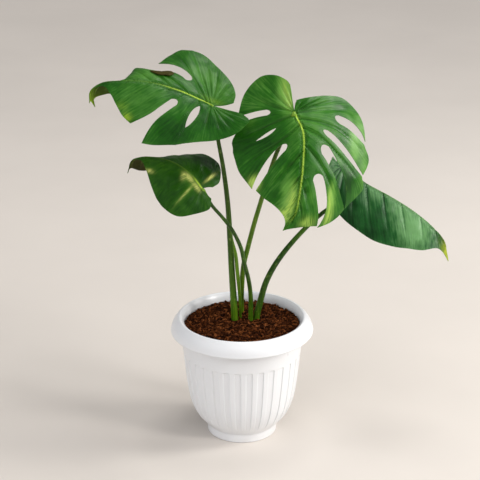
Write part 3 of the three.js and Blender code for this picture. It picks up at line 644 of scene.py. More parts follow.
def leaf_material(name, look):
    shade, body, light = look["greens"]
    n = Nodes(name)
    flow = n.add("ShaderNodeAttribute", attribute_name="flow").outputs["Vector"]
    streaks = n.noise(1.0, 3, stretch=(9, 1.1, 1), vector=flow)
    # Tone spots bring painted sheen and painted shade, the vein lines in tone painted furrow shade; the light
    # green at the top of the ramp is the colour of painted sheen.
    tone = n.math("ADD", n.sum(n.noise(22, 3), 0.6, streaks, 0.4), n.attribute("tone"))
    colour = n.ramp(tone, (0.32, shade), (0.49, body), (0.74, light))
    colour = n.blend(n.math("MULTIPLY", n.attribute("vein"), look["veins"], clamp=True), colour, VEIN_GREEN)
    # Lime spots: yellow patches and tips, and painted highlights in the pale colour.
    lime_and_sheen = n.math("MULTIPLY", n.attribute("lime_and_sheen"), n.range(streaks, 0.36, 0.58, 0.2, 1.0), clamp=True)
    colour = n.blend(lime_and_sheen, colour, look["pale"])
    colour = n.blend(n.attribute("rib"), colour, LIME)
    # A lighter margin in patches: painted light shining through the thin edge.
    edge = n.math("MULTIPLY", n.attribute("edge"), n.range(n.noise(60, 2), 0.45, 0.7), clamp=True)
    colour = n.blend(n.math("MULTIPLY", edge, 0.35), colour, light)
    n.bump((n.noise(900, 2), 0.05), (streaks, 0.25), (n.noise(130, 3), 0.2))
    return n.finish(
        Base_Color=colour, Roughness=n.range(n.noise(70, 3), 0.3, 0.7, 0.3, 0.46), Specular_IOR_Level=0.26,
        Subsurface_Weight=0.06, Subsurface_Radius=(0.5, 1.0, 0.2), Subsurface_Scale=0.0016)


def underside_material(name, look):
    n = Nodes(name)
    pale = look["below"]
    dark = tuple(0.45 * c for c in pale)
    colour = n.ramp(n.sum(n.noise(26, 3), 0.7, n.noise(150, 2), 0.3), (0.3, dark), (0.7, pale))
    colour = n.blend(n.math("MULTIPLY", n.attribute("vein"), 0.5), colour, (0.20, 0.36, 0.06))
    colour = n.blend(n.attribute("rib"), colour, (0.32, 0.48, 0.09))
    edge = n.math("ADD", n.attribute("edge"), 0.3)
    colour = n.blend(n.math("MULTIPLY", edge, n.attribute("lime_and_sheen"), clamp=True), colour, look["pale"])
    n.bump((n.noise(700, 2), 0.08), (n.noise(120, 3), 0.3))
    rough = n.range(n.noise(80, 2), 0.3, 0.7, 0.5, 0.66)
    return n.finish(Base_Color=colour, Roughness=rough, Specular_IOR_Level=0.15)


def stalk_material(name, young):
    n = Nodes(name)
    fibres = n.noise(1.0, 4, stretch=(420, 420, 18))
    patches = n.noise(30, 3)
    old = n.ramp(n.sum(fibres, 0.5, patches, 0.5),
                 (0.34, (0.004, 0.022, 0.001)), (0.5, (0.013, 0.055, 0.002)), (0.66, (0.045, 0.125, 0.004)))
    fresh = n.ramp(fibres, (0.35, (0.055, 0.15, 0.003)), (0.65, (0.14, 0.26, 0.008)))
    low = n.math("SUBTRACT", 1.0, n.attribute("height"))
    colour = n.blend(n.range(low, 0.55, 1.0, young, min(1.0, young + 0.55)), old, fresh)
    colour = n.blend(n.range(n.noise(260, 2), 0.62, 0.72, 0.0, 0.35), colour, (0.30, 0.42, 0.09))
    colour = n.blend(n.attribute("knee"), colour, (0.20, 0.36, 0.035))
    n.bump((fibres, 0.35), (n.noise(500, 2), 0.08))
    return n.finish(
        Base_Color=colour, Roughness=n.range(patches, 0.3, 0.7, 0.3, 0.45), Specular_IOR_Level=0.3,
        Subsurface_Weight=0.1, Subsurface_Radius=(0.6, 1.0, 0.2), Subsurface_Scale=0.002)


def pot_material():
    n = Nodes("pot_plastic")
    colour = n.ramp(n.noise(9, 3), (0.35, (0.785, 0.80, 0.825)), (0.65, (0.795, 0.81, 0.835)))
    height = n.add("ShaderNodeSeparateXYZ")
    n.link(n.position, height.inputs["Vector"])
    # Towards the bottom the plastic turns warmer and darker, in patches.
    bottom_tint = n.range(height.outputs["Z"], 0.0, 0.016, 0.2, 0.0)
    bottom_tint = n.math("MULTIPLY", bottom_tint, n.range(n.noise(40, 4), 0.35, 0.7))
    colour = n.blend(bottom_tint, colour, (0.66, 0.60, 0.54))
    n.bump((n.noise(25, 1), 0.02), (n.noise(1500, 2), 0.004))
    return n.finish(
        Base_Color=colour, Roughness=n.range(n.noise(20, 2), 0.3, 0.7, 0.27, 0.32), Coat_Weight=0.15,
        Coat_Roughness=0.12, Subsurface_Weight=0.12, Subsurface_Radius=(1.0, 0.9, 0.85),
        Subsurface_Scale=0.002)


def soil_material():
    n = Nodes("potting_soil")
    grain = n.noise(380, 4, 0.65)
    colour = n.ramp(
        n.sum(n.attribute("tone"), 0.75, grain, 0.45), (0.22, (0.006, 0.0016, 0.0005)),
        (0.48, (0.030, 0.008, 0.0022)), (0.72, (0.100, 0.028, 0.007)), (0.95, (0.240, 0.080, 0.024)))
    n.bump((grain, 0.9), (n.noise(1400, 3), 0.25))
    return n.finish(Base_Color=colour, Roughness=0.92, Specular_IOR_Level=0.06)


def floor_material():
    n = Nodes("floor_paint")
    pale = tuple(c * 0.96 for c in FLOOR_COLOUR)
    colour = n.ramp(n.noise(3, 3), (0.35, pale), (0.65, FLOOR_COLOUR))
    return n.finish(Base_Color=colour, Roughness=0.7, Specular_IOR_Level=0.1)


# ---- pot ---------------------------------------------------------------------------------------
def flute_angles():
    """Angles round the pot, close together where a groove's walls stand."""
    half = FLUTE_WIDTH / 2
    near = (-0.055, -0.028, 0, 0.028, 0.055)
    shares = sorted([-0.5, -0.4, -0.13, 0, 0.13, 0.4] + [s * half + d for s in (-1, 1) for d in near])
    return np.array([(FLUTE_PHASE + k + s) * math.tau / FLUTES for k in range(FLUTES) for s in shares])


def flute_depth(angles, radius, z):
    """Depth of the grooves: flat channels with rounded corners at the top, running out at the foot."""
    pitch = math.tau * radius / FLUTES
    turns = angles * FLUTES / math.tau - FLUTE_PHASE
    sideways = np.abs(turns - np.round(turns)) * pitch
    corner = np.hypot(np.maximum(sideways - (FLUTE_WIDTH * pitch / 2 - FLUTE_CORNER), 0),
                      max(z - (FLUTE_TOP - FLUTE_CORNER), 0)) - FLUTE_CORNER
    fade = smoothstep(FLUTE_BOTTOM, FLUTE_BOTTOM + FLUTE_FADE, z)
    return FLUTE_DEPTH * fade * smoothstep(FLUTE_EDGE / 2, -FLUTE_EDGE / 2, corner)


def fine_profile(points, step):
    """Extra points on a smooth line through [radius, z] points."""
    samples, lengths = curve_through([(r, 0, z) for r, z in points], 24)
    count = max(2, round(lengths[-1] / step))
    found, _ = at_length(samples, lengths, np.linspace(0, lengths[-1], count + 1))
    return [(p[0], p[2]) for p in found]


def bowl_radius(z):
    radii, heights = zip(*BOWL)
    return float(np.interp(z, heights, radii))


def pot_profile():
    """The pot's outline from the middle of the foot's underside, over the collar, to the floor inside."""
    foot = [(FOOT_RADIUS + out, z) for out, z in FOOT]
    side = fine_profile(BOWL[:7], 3.2)[:-1]
    top = [(bowl_radius(z), z) for z in np.arange(BOWL[6][1] - 0.6, FLUTE_TOP + 1.3, 0.45)]
    neck = [(bowl_radius(z), z) for z in (128, 134, 140, 146, 150)]
    collar = fine_profile(COLLAR, 1.1)
    inner = [(bowl_radius(z) - WALL - FLUTE_DEPTH / 2, z) for z in (171, 160, 140, 110, 75, 50, 32, 22)]
    floor = [(FOOT_RADIUS - WALL - inward, FLOOR + z) for inward, z in ((0, 4), (1, 1), (3.5, 0))]
    return foot + side + top + neck + COLLAR_ROOT + collar + inner + floor


def build_pot():
    angles = flute_angles()
    rings = []
    outside = True
    for radius, z in pot_profile():
        outside = outside and radius < RIM_RADIUS - 1
        depth = flute_depth(angles, radius, z) if outside and FLUTE_BOTTOM < z < FLUTE_TOP + 1 else 0
        rings.append(ring_at(radius - depth, angles, z))
    points, faces = skin(rings)
    pot = make_object("pot_fluted", points, faces, [pot_material()])
    for i in range(DRAIN_HOLES):
        drill(pot, (i + 0.5) / DRAIN_HOLES * math.tau)
    pot.data.set_sharp_from_angle(angle=math.radians(60))
    placed(pot, "pot")


def drill(pot, angle):
    """One drain hole in the pot's floor."""
    centre = np.array([math.cos(angle), math.sin(angle), 0]) * DRAIN_CIRCLE
    turns = np.arange(24) / 24 * math.tau
    points, faces = skin([ring_at(DRAIN_RADIUS, turns, z) + centre for z in (-2, 2 * FLOOR)])
    plug = make_object("plug", points, faces, [])
    cut = pot.modifiers.new("drain", "BOOLEAN")
    cut.operation = "DIFFERENCE"
    cut.solver = "EXACT"
    cut.object = plug
    graph = bpy.context.evaluated_depsgraph_get()
    mesh = bpy.data.meshes.new_from_object(pot.evaluated_get(graph))
    pot.modifiers.clear()
    pot.data = mesh
    bpy.data.objects.remove(plug)


# ---- soil --------------------------------------------------------------------------------------
def soil_height(x, y):
    """The soil's surface: a low dome with loose, crumbly relief."""
    r = np.hypot(x, y)
    dome = SOIL_EDGE + (SOIL_MIDDLE - SOIL_EDGE) * (1 - np.clip(r / SOIL_RADIUS, 0, 1) ** 2)
    flat = np.stack([x, y, np.zeros_like(x)], axis=-1)
    rough = 1.5 * noise_at(flat, 13, 3) + 1.0 * noise_at(flat, 4.5, 2, 40)
    return dome + rough - 1.2 * smoothstep(SOIL_RADIUS - 6, SOIL_RADIUS, r)


def soil_bed():
    """The filling of the pot, as points, faces and tones."""
    turns = np.arange(SOIL_SIDES) / SOIL_SIDES * math.tau
    rings = [ring_at(r, turns, SOIL_BOTTOM) for r in (1, FOOT_RADIUS - WALL - 4)]
    for z in (22, 43, 75, 120, 155):
        rings.append(ring_at(bowl_radius(z) - WALL - FLUTE_DEPTH / 2 - SOIL_GAP, turns, z))
    for r in np.linspace(SOIL_RADIUS, 0.6, 56):
        ring = ring_at(r, turns, 0)
        ring[:, 2] = soil_height(ring[:, 0], ring[:, 1])
        rings.append(ring)
    points, faces = skin(rings)
    return points, faces, 0.30 + 0.25 * noise_at(points, 5, 2, 3)


def lump_shape():
    """A twelve-cornered lump as points and faces."""
    g = (1 + 5 ** 0.5) / 2
    corners = [(-1, g, 0), (1, g, 0), (-1, -g, 0), (1, -g, 0), (0, -1, g), (0, 1, g), (0, -1, -g), (0, 1, -g),
               (g, 0, -1), (g, 0, 1), (-g, 0, -1), (-g, 0, 1)]
    faces = [(0, 11, 5), (0, 5, 1), (0, 1, 7), (0, 7, 10), (0, 10, 11), (1, 5, 9), (5, 11, 4), (11, 10, 2),
             (10, 7, 6), (7, 1, 8), (3, 9, 4), (3, 4, 2), (3, 2, 6), (3, 6, 8), (3, 8, 9), (4, 9, 5),
             (2, 4, 11), (6, 2, 10), (8, 6, 7), (9, 8, 1)]
    return unit(corners), faces


def free_of_stalks(x, y, clear):
    for stalk in [*STALKS.values(), SPEAR]:
        px, py, _ = stalk["path"][1]
        if math.hypot(x - px, y - py) < stalk["radii"][0] + clear:
            return False
    return True


def random_spot(rng, margin):
    """A place on the soil, that far inside its edge."""
    r = (SOIL_RADIUS - margin) * math.sqrt(rng.random())
    a = rng.random() * math.tau
    return r * math.cos(a), r * math.sin(a)


def soil_chips(rng):
    """Loose crumbs and flakes of coir lying on the bed."""
    corners, faces = lump_shape()
    spots = []
    while len(spots) < CHIPS:
        spot = random_spot(rng, 1.5)
        if free_of_stalks(*spot, 0.5):
            spots.append(spot)
    spots = np.array(spots)
    chips = []
    for (x, y), z in zip(spots, soil_height(spots[:, 0], spots[:, 1])):
        size = mix(*CHIP_SIZES, rng.random() ** 2.6)
        size = min(size, max(0.8, SOIL_RADIUS + 0.8 - math.hypot(x, y)))
        scale = [size * rng.uniform(low, high) for low, high in ((1.0, 1.7), (0.6, 1.0), (0.35, 0.8))]
        turn = Euler((rng.gauss(0, 0.45), rng.gauss(0, 0.45), rng.random() * 6.3)).to_matrix()
        jitter = np.array([[rng.uniform(0.72, 1.18)] for _ in corners])
        shape = (corners * jitter * scale) @ np.array(turn).T + (x, y, z + 0.35 * size)
        chips.append((shape, faces, [rng.betavariate(1.6, 2.2)] * len(corners)))
    return chips


def soil_fibres(rng):
    """Short curved coir fibres on top."""
    fibres = []
    for _ in range(FIBRES):
        x, y = random_spot(rng, 8)
        heading = rng.random() * math.tau
        curl = rng.uniform(-0.16, 0.16)
        step = rng.uniform(5, 12) / 4
        line = []
        for _ in range(5):
            line.append((x, y))
            x += math.cos(heading) * step
            y += math.sin(heading) * step
            heading += curl * step
        if not all(free_of_stalks(px, py, 1) for px, py in line) or math.hypot(x, y) > SOIL_RADIUS:
            continue
        line = np.array(line)
        z = soil_height(line[:, 0], line[:, 1]) + rng.uniform(0.6, 1.8)
        z += np.sin(np.linspace(0, math.pi, 5)) * rng.uniform(0, 1.2)
        points, faces = tube(np.column_stack([line, z]), lambda t: np.full_like(t, FIBRE_RADIUS), 6, 5)
        fibres.append((points, faces, [rng.uniform(0.55, 1.0)] * len(points)))
    return fibres


def build_soil():
    rng = random.Random(SEED)
    points, faces, tone = [], [], []
    for found, shape, shade in [soil_bed(), *soil_chips(rng), *soil_fibres(rng)]:
        count = len(tone)
        points.append(found)
        faces += [tuple(count + i for i in face) for face in shape]
        tone += list(shade)
    soil = make_object("soil_coarse", np.vstack(points), faces, [soil_material()], attributes={"tone": tone},
                       sharp=70)
    placed(soil, "soil")


# ---- stalks ------------------------------------------------------------------------------------
def stalk_point(stalk):
    """Where a stalk meets the spine of its blade."""
    return np.array(BLADES[stalk["blade"]]["spine"][STALK_AT], float)


def knee_direction(stalk):
    return unit(stalk_point(stalk) - stalk["path"][-1])


def stalk_section(t, angles):
    """A shallow channel on one side, and a sheath that clasps it near the soil."""
    channel = 0.10 * bell(angles - 4.3, 0.45)
    sheath = 0.14 * (1 - smoothstep(0, SHEATH, t)) * bell(angles - 1.2, 0.22)
    ripple = 0.012 * np.sin(angles * 9 + 3 * t)
    return 1 - channel + sheath + ripple


def build_stalk(name, stalk):
    path = [*stalk["path"], stalk_point(stalk) - knee_direction(stalk) * KNEE_LENGTH]

    def radius(t):
        return mix(*stalk["radii"], t) * (1 + 0.10 * bell(t - 0.97, 0.03))

    points, faces = tube(path, radius, STALK_STATIONS, STALK_SIDES, stalk_section)
    share = along_rings(np.linspace(0, 1, STALK_STATIONS + 1), STALK_SIDES)
    thing = make_object(
        name + "_fine", points, faces, [stalk_material("stalk_skin_" + name, stalk["young"])],
        attributes={"height": share, "knee": 0.5 * smoothstep(0.955, 1, share)})
    placed(thing, name)


def build_spear():
    """The rolled young leaf: a slim cone with the roll's free edge winding up it."""
    radii = SPEAR["radii"]
    shares = np.linspace(0, 1, len(radii))

    def section(t, angles):
        turn = (angles / math.tau + 1.2 * t) % 1
        return 0.93 + 0.16 * turn ** 3 * (1 - 0.4 * t)

    points, faces = tube(
        SPEAR["path"], lambda t: eased(shares, radii, t), SPEAR_STATIONS, SPEAR_SIDES, section)
    share = along_rings(np.linspace(0, 1, SPEAR_STATIONS + 1), SPEAR_SIDES)
    thing = make_object("spear_rolled", points, faces, [stalk_material("spear_skin", 0.95)],
                        attributes={"height": share * 0.6, "knee": np.zeros(len(points))})
    placed(thing, "spear")


# ---- blades, drawn flat ------------------------------------------------------------------------
def stations_of(cut):
    """Shares of a vein's length. Those nearest a cut's ends are moved onto them, the rest follow."""
    first = np.array(FIRST_STATIONS)
    even = np.linspace(first[-1], 1, EVEN_STATIONS + 1)[1:]
    base = np.concatenate([first, even])
    if not cut:
        return base, 0
    start = 1 + int(np.argmin(np.abs(base[1:-1] - cut["from"])))
    keys, values = [0, base[start]], [0, cut["from"]]
    for step, part in enumerate(HEAD_SHARES, 1):
        keys.append(base[start + step])
        values.append(mix(cut["from"], cut["to"], part))
    if cut["to"] < 1:
        keys.append(base[np.argmin(np.abs(base - cut["to"]))])
        values.append(cut["to"])
    return np.interp(base, keys + [1], values + [1]), start


def cut_width(cut, s):
    u = (s - cut["from"]) / (cut["to"] - cut["from"])
    inside = (u > 0) & (u <= 1)
    u = np.clip(u, 0, 1)
    if cut["to"] < 1:
        width = cut["middle"] * np.sin(math.pi * u) ** 0.7
        width[u >= 1 - 1e-9] = 0
    else:
        opening = cut["middle"] * np.minimum(1, np.sqrt(12 * u))
        width = np.where(u < 0.5, opening, mix(cut["middle"], cut["end"], (2 * u - 1) ** 2))
    return np.where(inside, width, 0)


def vein_edges(v):
    """The two edges of a vein's cut; the same line twice where it has none."""
    cut = v["cut"]
    s, start = stations_of(cut)
    root = np.array([v["root"], 0.0])
    bend, end = np.array(v["bend"], float), np.array(v["end"], float)
    t = s[:, None]
    line = (1 - t) ** 2 * root + 2 * t * (1 - t) * bend + t * t * end
    if not cut:
        return line, line
    run = unit(2 * (1 - t) * (bend - root) + 2 * t * (end - bend))
    across = np.stack([-run[:, 1], run[:, 0]], axis=1)
    after = (np.arange(len(s)) > start).astype(float)
    half = (cut_width(cut, s) / 2 * after)[:, None]
    reach = (cut["lean"] / 2 * s ** 3 * after)[:, None]
    return line + across * half + run * reach, line - across * half - run * reach


def catmull(a, b, c, d, t):
    return b + 0.5 * t * (c - a + t * (2 * a - 5 * b + 4 * c - d + t * (3 * (b - c) + d - a)))


def fingers_of(veins):
    """The fingers of one half, between its cuts, as fine rays."""
    fingers, current = [], []
    for v in veins:
        left, right = vein_edges(v)
        current.append((left, not v["cut"]))
        if v["cut"]:
            fingers.append(current)
            current = [(right, False)]
    return [refine(finger) for finger in [*fingers, current]]


def refine(rays):
    """Fine rays over a finger, each with its place and its distance to the nearest vein that shows.

    It takes (line, whether a vein shows there) pairs.
    """
    lines = [line for line, _ in rays]
    shown = [line for line, shows in rays if shows] or lines[:1]
    fine = []
    for k, (a, b) in enumerate(zip(lines, lines[1:])):
        before = lines[k - 1] if k else 2 * a - b
        after = lines[k + 2] if k + 2 < len(lines) else 2 * b - a
        count = max(3, round(np.linalg.norm(a[-1] - b[-1]) / RAY_SPACING))
        fine += [(catmull(before, a, b, after, j / count), k + j / count) for j in range(count)]
    fine.append((lines[-1], len(lines) - 1))
    return [
        (line, place, np.min([np.linalg.norm(line - vein_line, axis=1) for vein_line in shown], axis=0))
        for line, place in fine
    ]


class Flat:
    """A blade drawn flat: its points, with what is known about each, and its faces.

    gap is the distance to the nearest vein, share tells how far out on its vein a point lies, and flow
    runs along and across the veins, for streaks of colour.
    """

    def __init__(self, blade):
        self.rows, self.places, self.rim = [], {}, set()
        self.length = blade["plus"][-1]["end"][0]
        self.midrib(blade["plus"][-1]["root"])
        self.half(1, blade["plus"])
        self.half(-1, blade["minus"])
        table = np.array(self.rows)
        faces = triangulated(table[:, :2], sorted(self.rim))
        used, faces = np.unique(faces, return_inverse=True)
        self.faces = faces.reshape(-1, 3)
        self.points = table[used, :2]
        self.gap, self.share = table[used, 2:4].T
        self.flow = table[used, 4:]
        self.edges = open_edges(self.faces.tolist())

    def weld(self, along, across, gap, share, flow):
        key = (round(along, 3), round(across, 3) + 0.0)
        if key not in self.places:
            self.places[key] = len(self.rows)
            self.rows.append((along, across, gap, share, *flow))
        return self.places[key]

    def midrib(self, end):
        """Points on the midrib, and rows beside it that shape its ridge."""
        steps = round(end / RIB_SPACING)
        for k in range(steps + 1):
            self.weld(k / steps * end, 0, 0, 0, (0, 0))
        for k in range(steps):
            for row in RIB_ROWS:
                self.weld((k + 0.5) / steps * end, row, 9, 0.01, (0, k))
                self.weld((k + 0.5) / steps * end, -row, 9, 0.01, (0, k + 10))

    def ray(self, side, line, place, gaps):
        count = len(line)
        return [
            self.weld(along, side * across, gap, k / (count - 1), (place, 3 * k / count + 10 * (side < 0)))
            for k, ((along, across), gap) in enumerate(zip(line, gaps))
        ]

    def half(self, side, veins):
        """One half's points. An edge that two outlines share, as where a hole has ended, is no rim."""
        offset = 0
        for rays in fingers_of(veins):
            ids = [self.ray(side, line, offset + place, gaps) for line, place, gaps in rays]
            offset += len(rays)
            for line in (ids[0], [ray[-1] for ray in ids], ids[-1]):
                self.rim ^= {(min(pair), max(pair)) for pair in zip(line, line[1:]) if pair[0] != pair[1]}


def triangulated(flat, rim):
    """Faces over the flat blade inside its rim, so that none lies folded over another."""
    found = delaunay_2d_cdt([Vector(p) for p in flat], rim, [], 0, 1e-6)
    origin = np.array([ids[0] if ids else -1 for ids in found[3]])
    faces = origin[np.array(found[2])]
    faces = faces[faces.min(axis=1) >= 0]
    middle = flat[faces].mean(axis=1)
    inside = np.zeros(len(faces), bool)
    for (x, y), (next_x, next_y) in flat[np.array(rim)]:
        if y != next_y:
            crossed = (middle[:, 1] > y) != (middle[:, 1] > next_y)
            inside ^= crossed & (middle[:, 0] < x + (middle[:, 1] - y) / (next_y - y) * (next_x - x))
    return faces[inside][:, ::-1]


def open_edges(faces):
    """Directed edges that only one face has."""
    edges = dict.fromkeys((face[i], face[i - 2]) for face in faces for i in range(3))
    return [(a, b) for a, b in edges if (b, a) not in edges]


def margin_distance(sheet):
    """Distance of each flat point to the blade's edge."""
    tree = kdtree.KDTree(2 * len(sheet.edges))
    for i, pair in enumerate(sheet.edges):
        start, stop = sheet.points[list(pair)]
        tree.insert((*start, 0), 2 * i)
        tree.insert((*((start + stop) / 2), 0), 2 * i + 1)
    tree.balance()
    return np.array([tree.find((*p, 0))[2] for p in sheet.points])


# ---- blades, in space --------------------------------------------------------------------------
def bent(blade, flat):
    """Bends flat points into space."""
    samples, lengths = curve_through(blade["spine"])
    along, across = flat.T
    where = lengths[STALK_AT * CURVE_SAMPLES] + along
    on_spine = np.clip(where, 0, lengths[-1])
    points, direction = at_length(samples, lengths, on_spine)
    points += direction * (where - on_spine)[:, None]

    def between(rows, column, i):
        return eased([row[0] for row in rows], [row[column][i] for row in rows], along)

    out = unit(np.stack([between(blade["frames"], 1, i) for i in range(3)], axis=1))
    up = np.stack([between(blade["frames"], 2, i) for i in range(3)], axis=1)
    up = unit(up - out * np.sum(up * out, axis=1)[:, None])
    slope, gain = [
        np.where(across >= 0, between(blade["bends"], 1, i), between(blade["bends"], 2, i)) for i in range(2)
    ]
    start = np.radians(slope)
    rate = np.radians(gain) / 100
    reach = np.abs(across)
    level = (np.sin(start + rate * reach) - np.sin(start)) / rate
    drop = (np.cos(start) - np.cos(start + rate * reach)) / rate
    return points + out * (np.sign(across) * level)[:, None] - up * drop[:, None]


def normals_of(points, triangles):
    a, b, c = (points[triangles[:, i]] for i in range(3))
    faces = np.cross(b - a, c - a)
    normals = np.zeros_like(points)
    for i in range(3):
        np.add.at(normals, triangles[:, i], faces)
    return unit(normals)


def relief(sheet, margin, look):
    """Height of the upper face: furrows on the veins, soft swellings between them, a rib in its channel."""
    along, across = sheet.points.T
    gap, share = sheet.gap, sheet.share
    fade = smoothstep(0.0, 0.08, share) * (1 - smoothstep(0.55, 0.98, share))
    furrow = -FURROW_DEPTH * bell(gap, FURROW_WIDTH) * fade
    puff = PUFF_HEIGHT * (1 - bell(gap, 8 * np.clip(share * 1.6, 0.15, 1))) * fade * smoothstep(0, 6, margin)
    crest, channel = [height * bell(across, width) for height, width in (RIB_CREST, RIB_CHANNEL)]
    rib = (crest - channel) * np.clip(1 - along / sheet.length, 0.15, 1) * (along >= -1)
    flat = np.column_stack([sheet.points, np.zeros(len(gap))])
    wave = WAVE_HEIGHT * noise_at(flat, WAVE_LENGTH, 2, sheet.length) * smoothstep(0.25, 1, share)
    pucker = PUCKER_HEIGHT * noise_at(flat, PUCKER_LENGTH, 2, sheet.length + 5) * smoothstep(0.05, 0.3, share)
    return look["furrows"] * (furrow + puff) + rib + wave + look["puckers"] * pucker


def thickness(sheet):
    """Of the blade, with its midrib and its veins, which stand out below."""
    along, across = sheet.points.T
    taper = np.clip(1 - along / sheet.length, 0, 1) * (along >= 0)
    rib = RIB_DEPTH * np.maximum(0, 1 - (np.abs(across) / RIB_HALF_WIDTH) ** 2) * taper
    veins = VEIN_DEPTH * bell(sheet.gap, VEIN_WIDTH) * smoothstep(0.01, 0.08, sheet.share) * (1 - sheet.share)
    return BLADE_THICKNESS + rib + veins


def spotted(flat, spots):
    """The sum of soft oval spots."""
    total = np.zeros(len(flat))
    for along, across, long, wide, amount in spots:
        total += amount * bell(flat[:, 0] - along, long) * bell(flat[:, 1] - across, wide)
    return total


def blade_attributes(sheet, margin, look):
    """What the leaf's materials read at each point."""
    along, across = sheet.points.T
    share = sheet.share
    veins = bell(sheet.gap, 0.9) * (1 - smoothstep(0.25, 0.9, share)) * smoothstep(0, 0.02, share)
    rib = bell(across, 1.05) * np.sqrt(np.clip(1.15 - along / sheet.length, 0, 1)) * (along > -0.5)
    return {
        "vein": veins,
        "rib": rib * (1 - 0.88 * smoothstep(*look["rib"], along)),
        "edge": np.exp(-margin / 1.2),
        # Tone spots: painted sheen and painted shade, with some variegation; less tone on the vein lines:
        # painted furrow shade.
        "tone": spotted(sheet.points, look["tone"]) - look["lines"] * veins,
        # Lime spots: yellow patches and tips, and painted highlights.
        "lime_and_sheen": spotted(sheet.points, look["lime_and_sheen"]),
        "flow": np.column_stack([sheet.flow, np.zeros(len(share))]),
    }


def build_blade(name, blade, look):
    sheet = Flat(blade)
    margin = margin_distance(sheet)
    top = bent(blade, sheet.points)
    normals = normals_of(top, sheet.faces)
    top += normals * relief(sheet, margin, look)[:, None]
    bottom = top - normals * thickness(sheet)[:, None]
    points = np.clip(np.vstack([top, bottom]), *(np.array(CAD_BOX) / MM))
    count = len(top)
    walls = [wall for a, b in sheet.edges for wall in ([b, a, a + count], [b, a + count, b + count])]
    under = sheet.faces[:, [0, 2, 1]] + count
    kinds = [0] * len(under) + [1] * len(under) + [0] * len(walls)
    attributes = blade_attributes(sheet, margin, look)
    materials = [leaf_material("leaf_top_" + name, look), underside_material("leaf_under_" + name, look)]
    thing = make_object(
        name + "_fine", points, [*sheet.faces.tolist(), *under.tolist(), *walls], materials, kinds,
        {key: np.concatenate([values, values]) for key, values in attributes.items()}, sharp=55)
    extras = [build_knee(name)]
    if "roll" in look:
        extras.append(build_roll(name, look, sheet, top, normals))
    join(thing, *extras)
    placed(thing, name)


def build_roll(name, look, sheet, top, normals):
    """A stretch of margin that is folded back over the blade, its underside outwards."""
    low, high = look["roll"]
    rim = {i for pair in sheet.edges for i in pair}
    edge = [i for i in rim if np.all(sheet.points[i] > low) and np.all(sheet.points[i] < high)]
    edge.sort(key=lambda i: -sheet.points[i, 0])
    along = unit(np.gradient(top[edge], axis=0))
    outward = unit(np.cross(normals[edge], along))
    outward *= np.sign(outward[len(edge) // 2] @ (0, 0.9, 0.4))
    share = np.linspace(0, 1, len(edge))
    size = np.sqrt(np.clip(1.4 * share, 0.02, 1) * np.clip(7 * (1 - share), 0.03, 1))
    angles = np.radians([*np.linspace(-20, ROLL_TURN, 10), *[ROLL_TURN] * 4])
    slide = np.clip(np.arange(-9, 5) / 4, 0, 1)
    rings = []
    for point, normal, out, part in zip(top[edge], normals[edge], outward, size):
        rays = np.outer(np.sin(angles), out) - np.outer(np.cos(angles), normal)
        inner = point + ROLL_RADIUS * part * (normal + rays)
        inner = inner - np.outer(ROLL_INSET + slide * ROLL_REACH * part, out)
        rings.append(np.vstack([inner + rays * BLADE_THICKNESS, inner[::-1]]))
    brown = underside_material("leaf_fold_" + name, look | {"below": look["fold"]})
    return make_object("roll", *skin(rings), [brown])


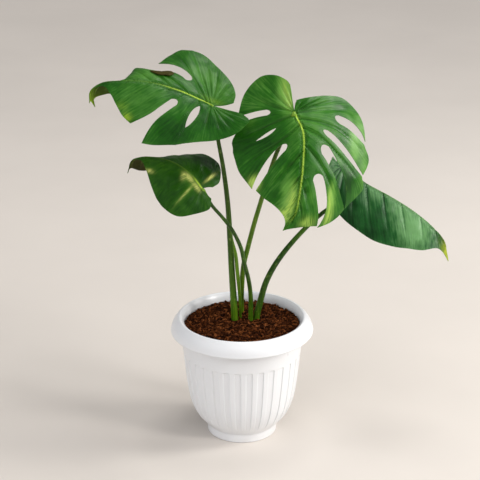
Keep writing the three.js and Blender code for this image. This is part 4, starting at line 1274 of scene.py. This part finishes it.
def build_knee(name):
    """The swollen joint between stalk and blade, grown as one with the blade."""
    stalk = next(stalk for stalk in STALKS.values() if stalk["blade"] == name)
    at, direction = stalk_point(stalk), knee_direction(stalk)
    path = [at - direction * below for below in (KNEE_LENGTH + 1.2, KNEE_LENGTH / 2, 0.3)]

    def swell(t):
        bulge = 1 + 0.28 * np.sin(math.pi * t) ** 1.5
        return stalk["radii"][1] * bulge * np.sqrt(np.clip(1.02 - t ** 8, 0.02, 1))

    points, faces = tube(path, swell, 16, 20)
    return make_object(
        "knee", points, faces, [stalk_material("knee_skin_" + name, 0.6)],
        attributes={"height": np.full(len(points), 0.8), "knee": np.full(len(points), 0.7)})


def join(thing, *others):
    """Adds other objects' meshes to the first one."""
    with bpy.context.temp_override(active_object=thing, selected_editable_objects=[thing, *others]):
        bpy.ops.object.join()


# ---- scene -------------------------------------------------------------------------------------
def aimed(thing, place, aim):
    thing.location = place
    thing.rotation_euler = (Vector(aim) - Vector(place)).to_track_quat("-Z", "Y").to_euler()
    bpy.context.scene.collection.objects.link(thing)


def build_camera():
    camera = bpy.data.objects.new("camera", bpy.data.cameras.new("camera"))
    camera.data.lens = LENS
    camera.data.sensor_width = 36
    camera.data.clip_end = 60
    aimed(camera, CAMERA_PLACE, CAMERA_AIM)
    bpy.context.scene.camera = camera


def build_lights():
    for name, (place, strength, angle, colour, in_gloss) in SUNS.items():
        sun = bpy.data.lights.new(name, "SUN")
        sun.energy = strength
        sun.angle = math.radians(angle)
        sun.color = colour
        thing = bpy.data.objects.new(name, sun)
        thing.visible_glossy = in_gloss
        aimed(thing, place, (0, 0, 0))
    for name, (place, aim, size, power, colour) in LAMPS.items():
        lamp = bpy.data.lights.new(name, "AREA")
        lamp.shape = "DISK"
        lamp.size = size
        lamp.energy = power
        lamp.color = colour
        aimed(bpy.data.objects.new(name, lamp), place, aim)
    world = bpy.data.worlds.new("studio")
    bpy.context.scene.world = world
    world.use_nodes = True
    background = world.node_tree.nodes["Background"].inputs
    background["Color"].default_value = (*WORLD_COLOUR, 1)
    background["Strength"].default_value = WORLD_STRENGTH


def build_floor():
    half = FLOOR_SIZE / 2 / MM
    points = [(-half, -half, 0), (half, -half, 0), (half, half, 0), (-half, half, 0)]
    make_object("floor", points, [(0, 1, 2, 3)], [floor_material()])


build_camera()
build_lights()
build_floor()
bpy.context.scene.view_settings.view_transform = "Standard"
build_pot()
build_soil()
for stalk_name, stalk_data in STALKS.items():
    build_stalk(stalk_name, stalk_data)
build_spear()
for blade_name, blade_data in BLADES.items():
    build_blade(blade_name, blade_data, LEAF_LOOKS[blade_name])
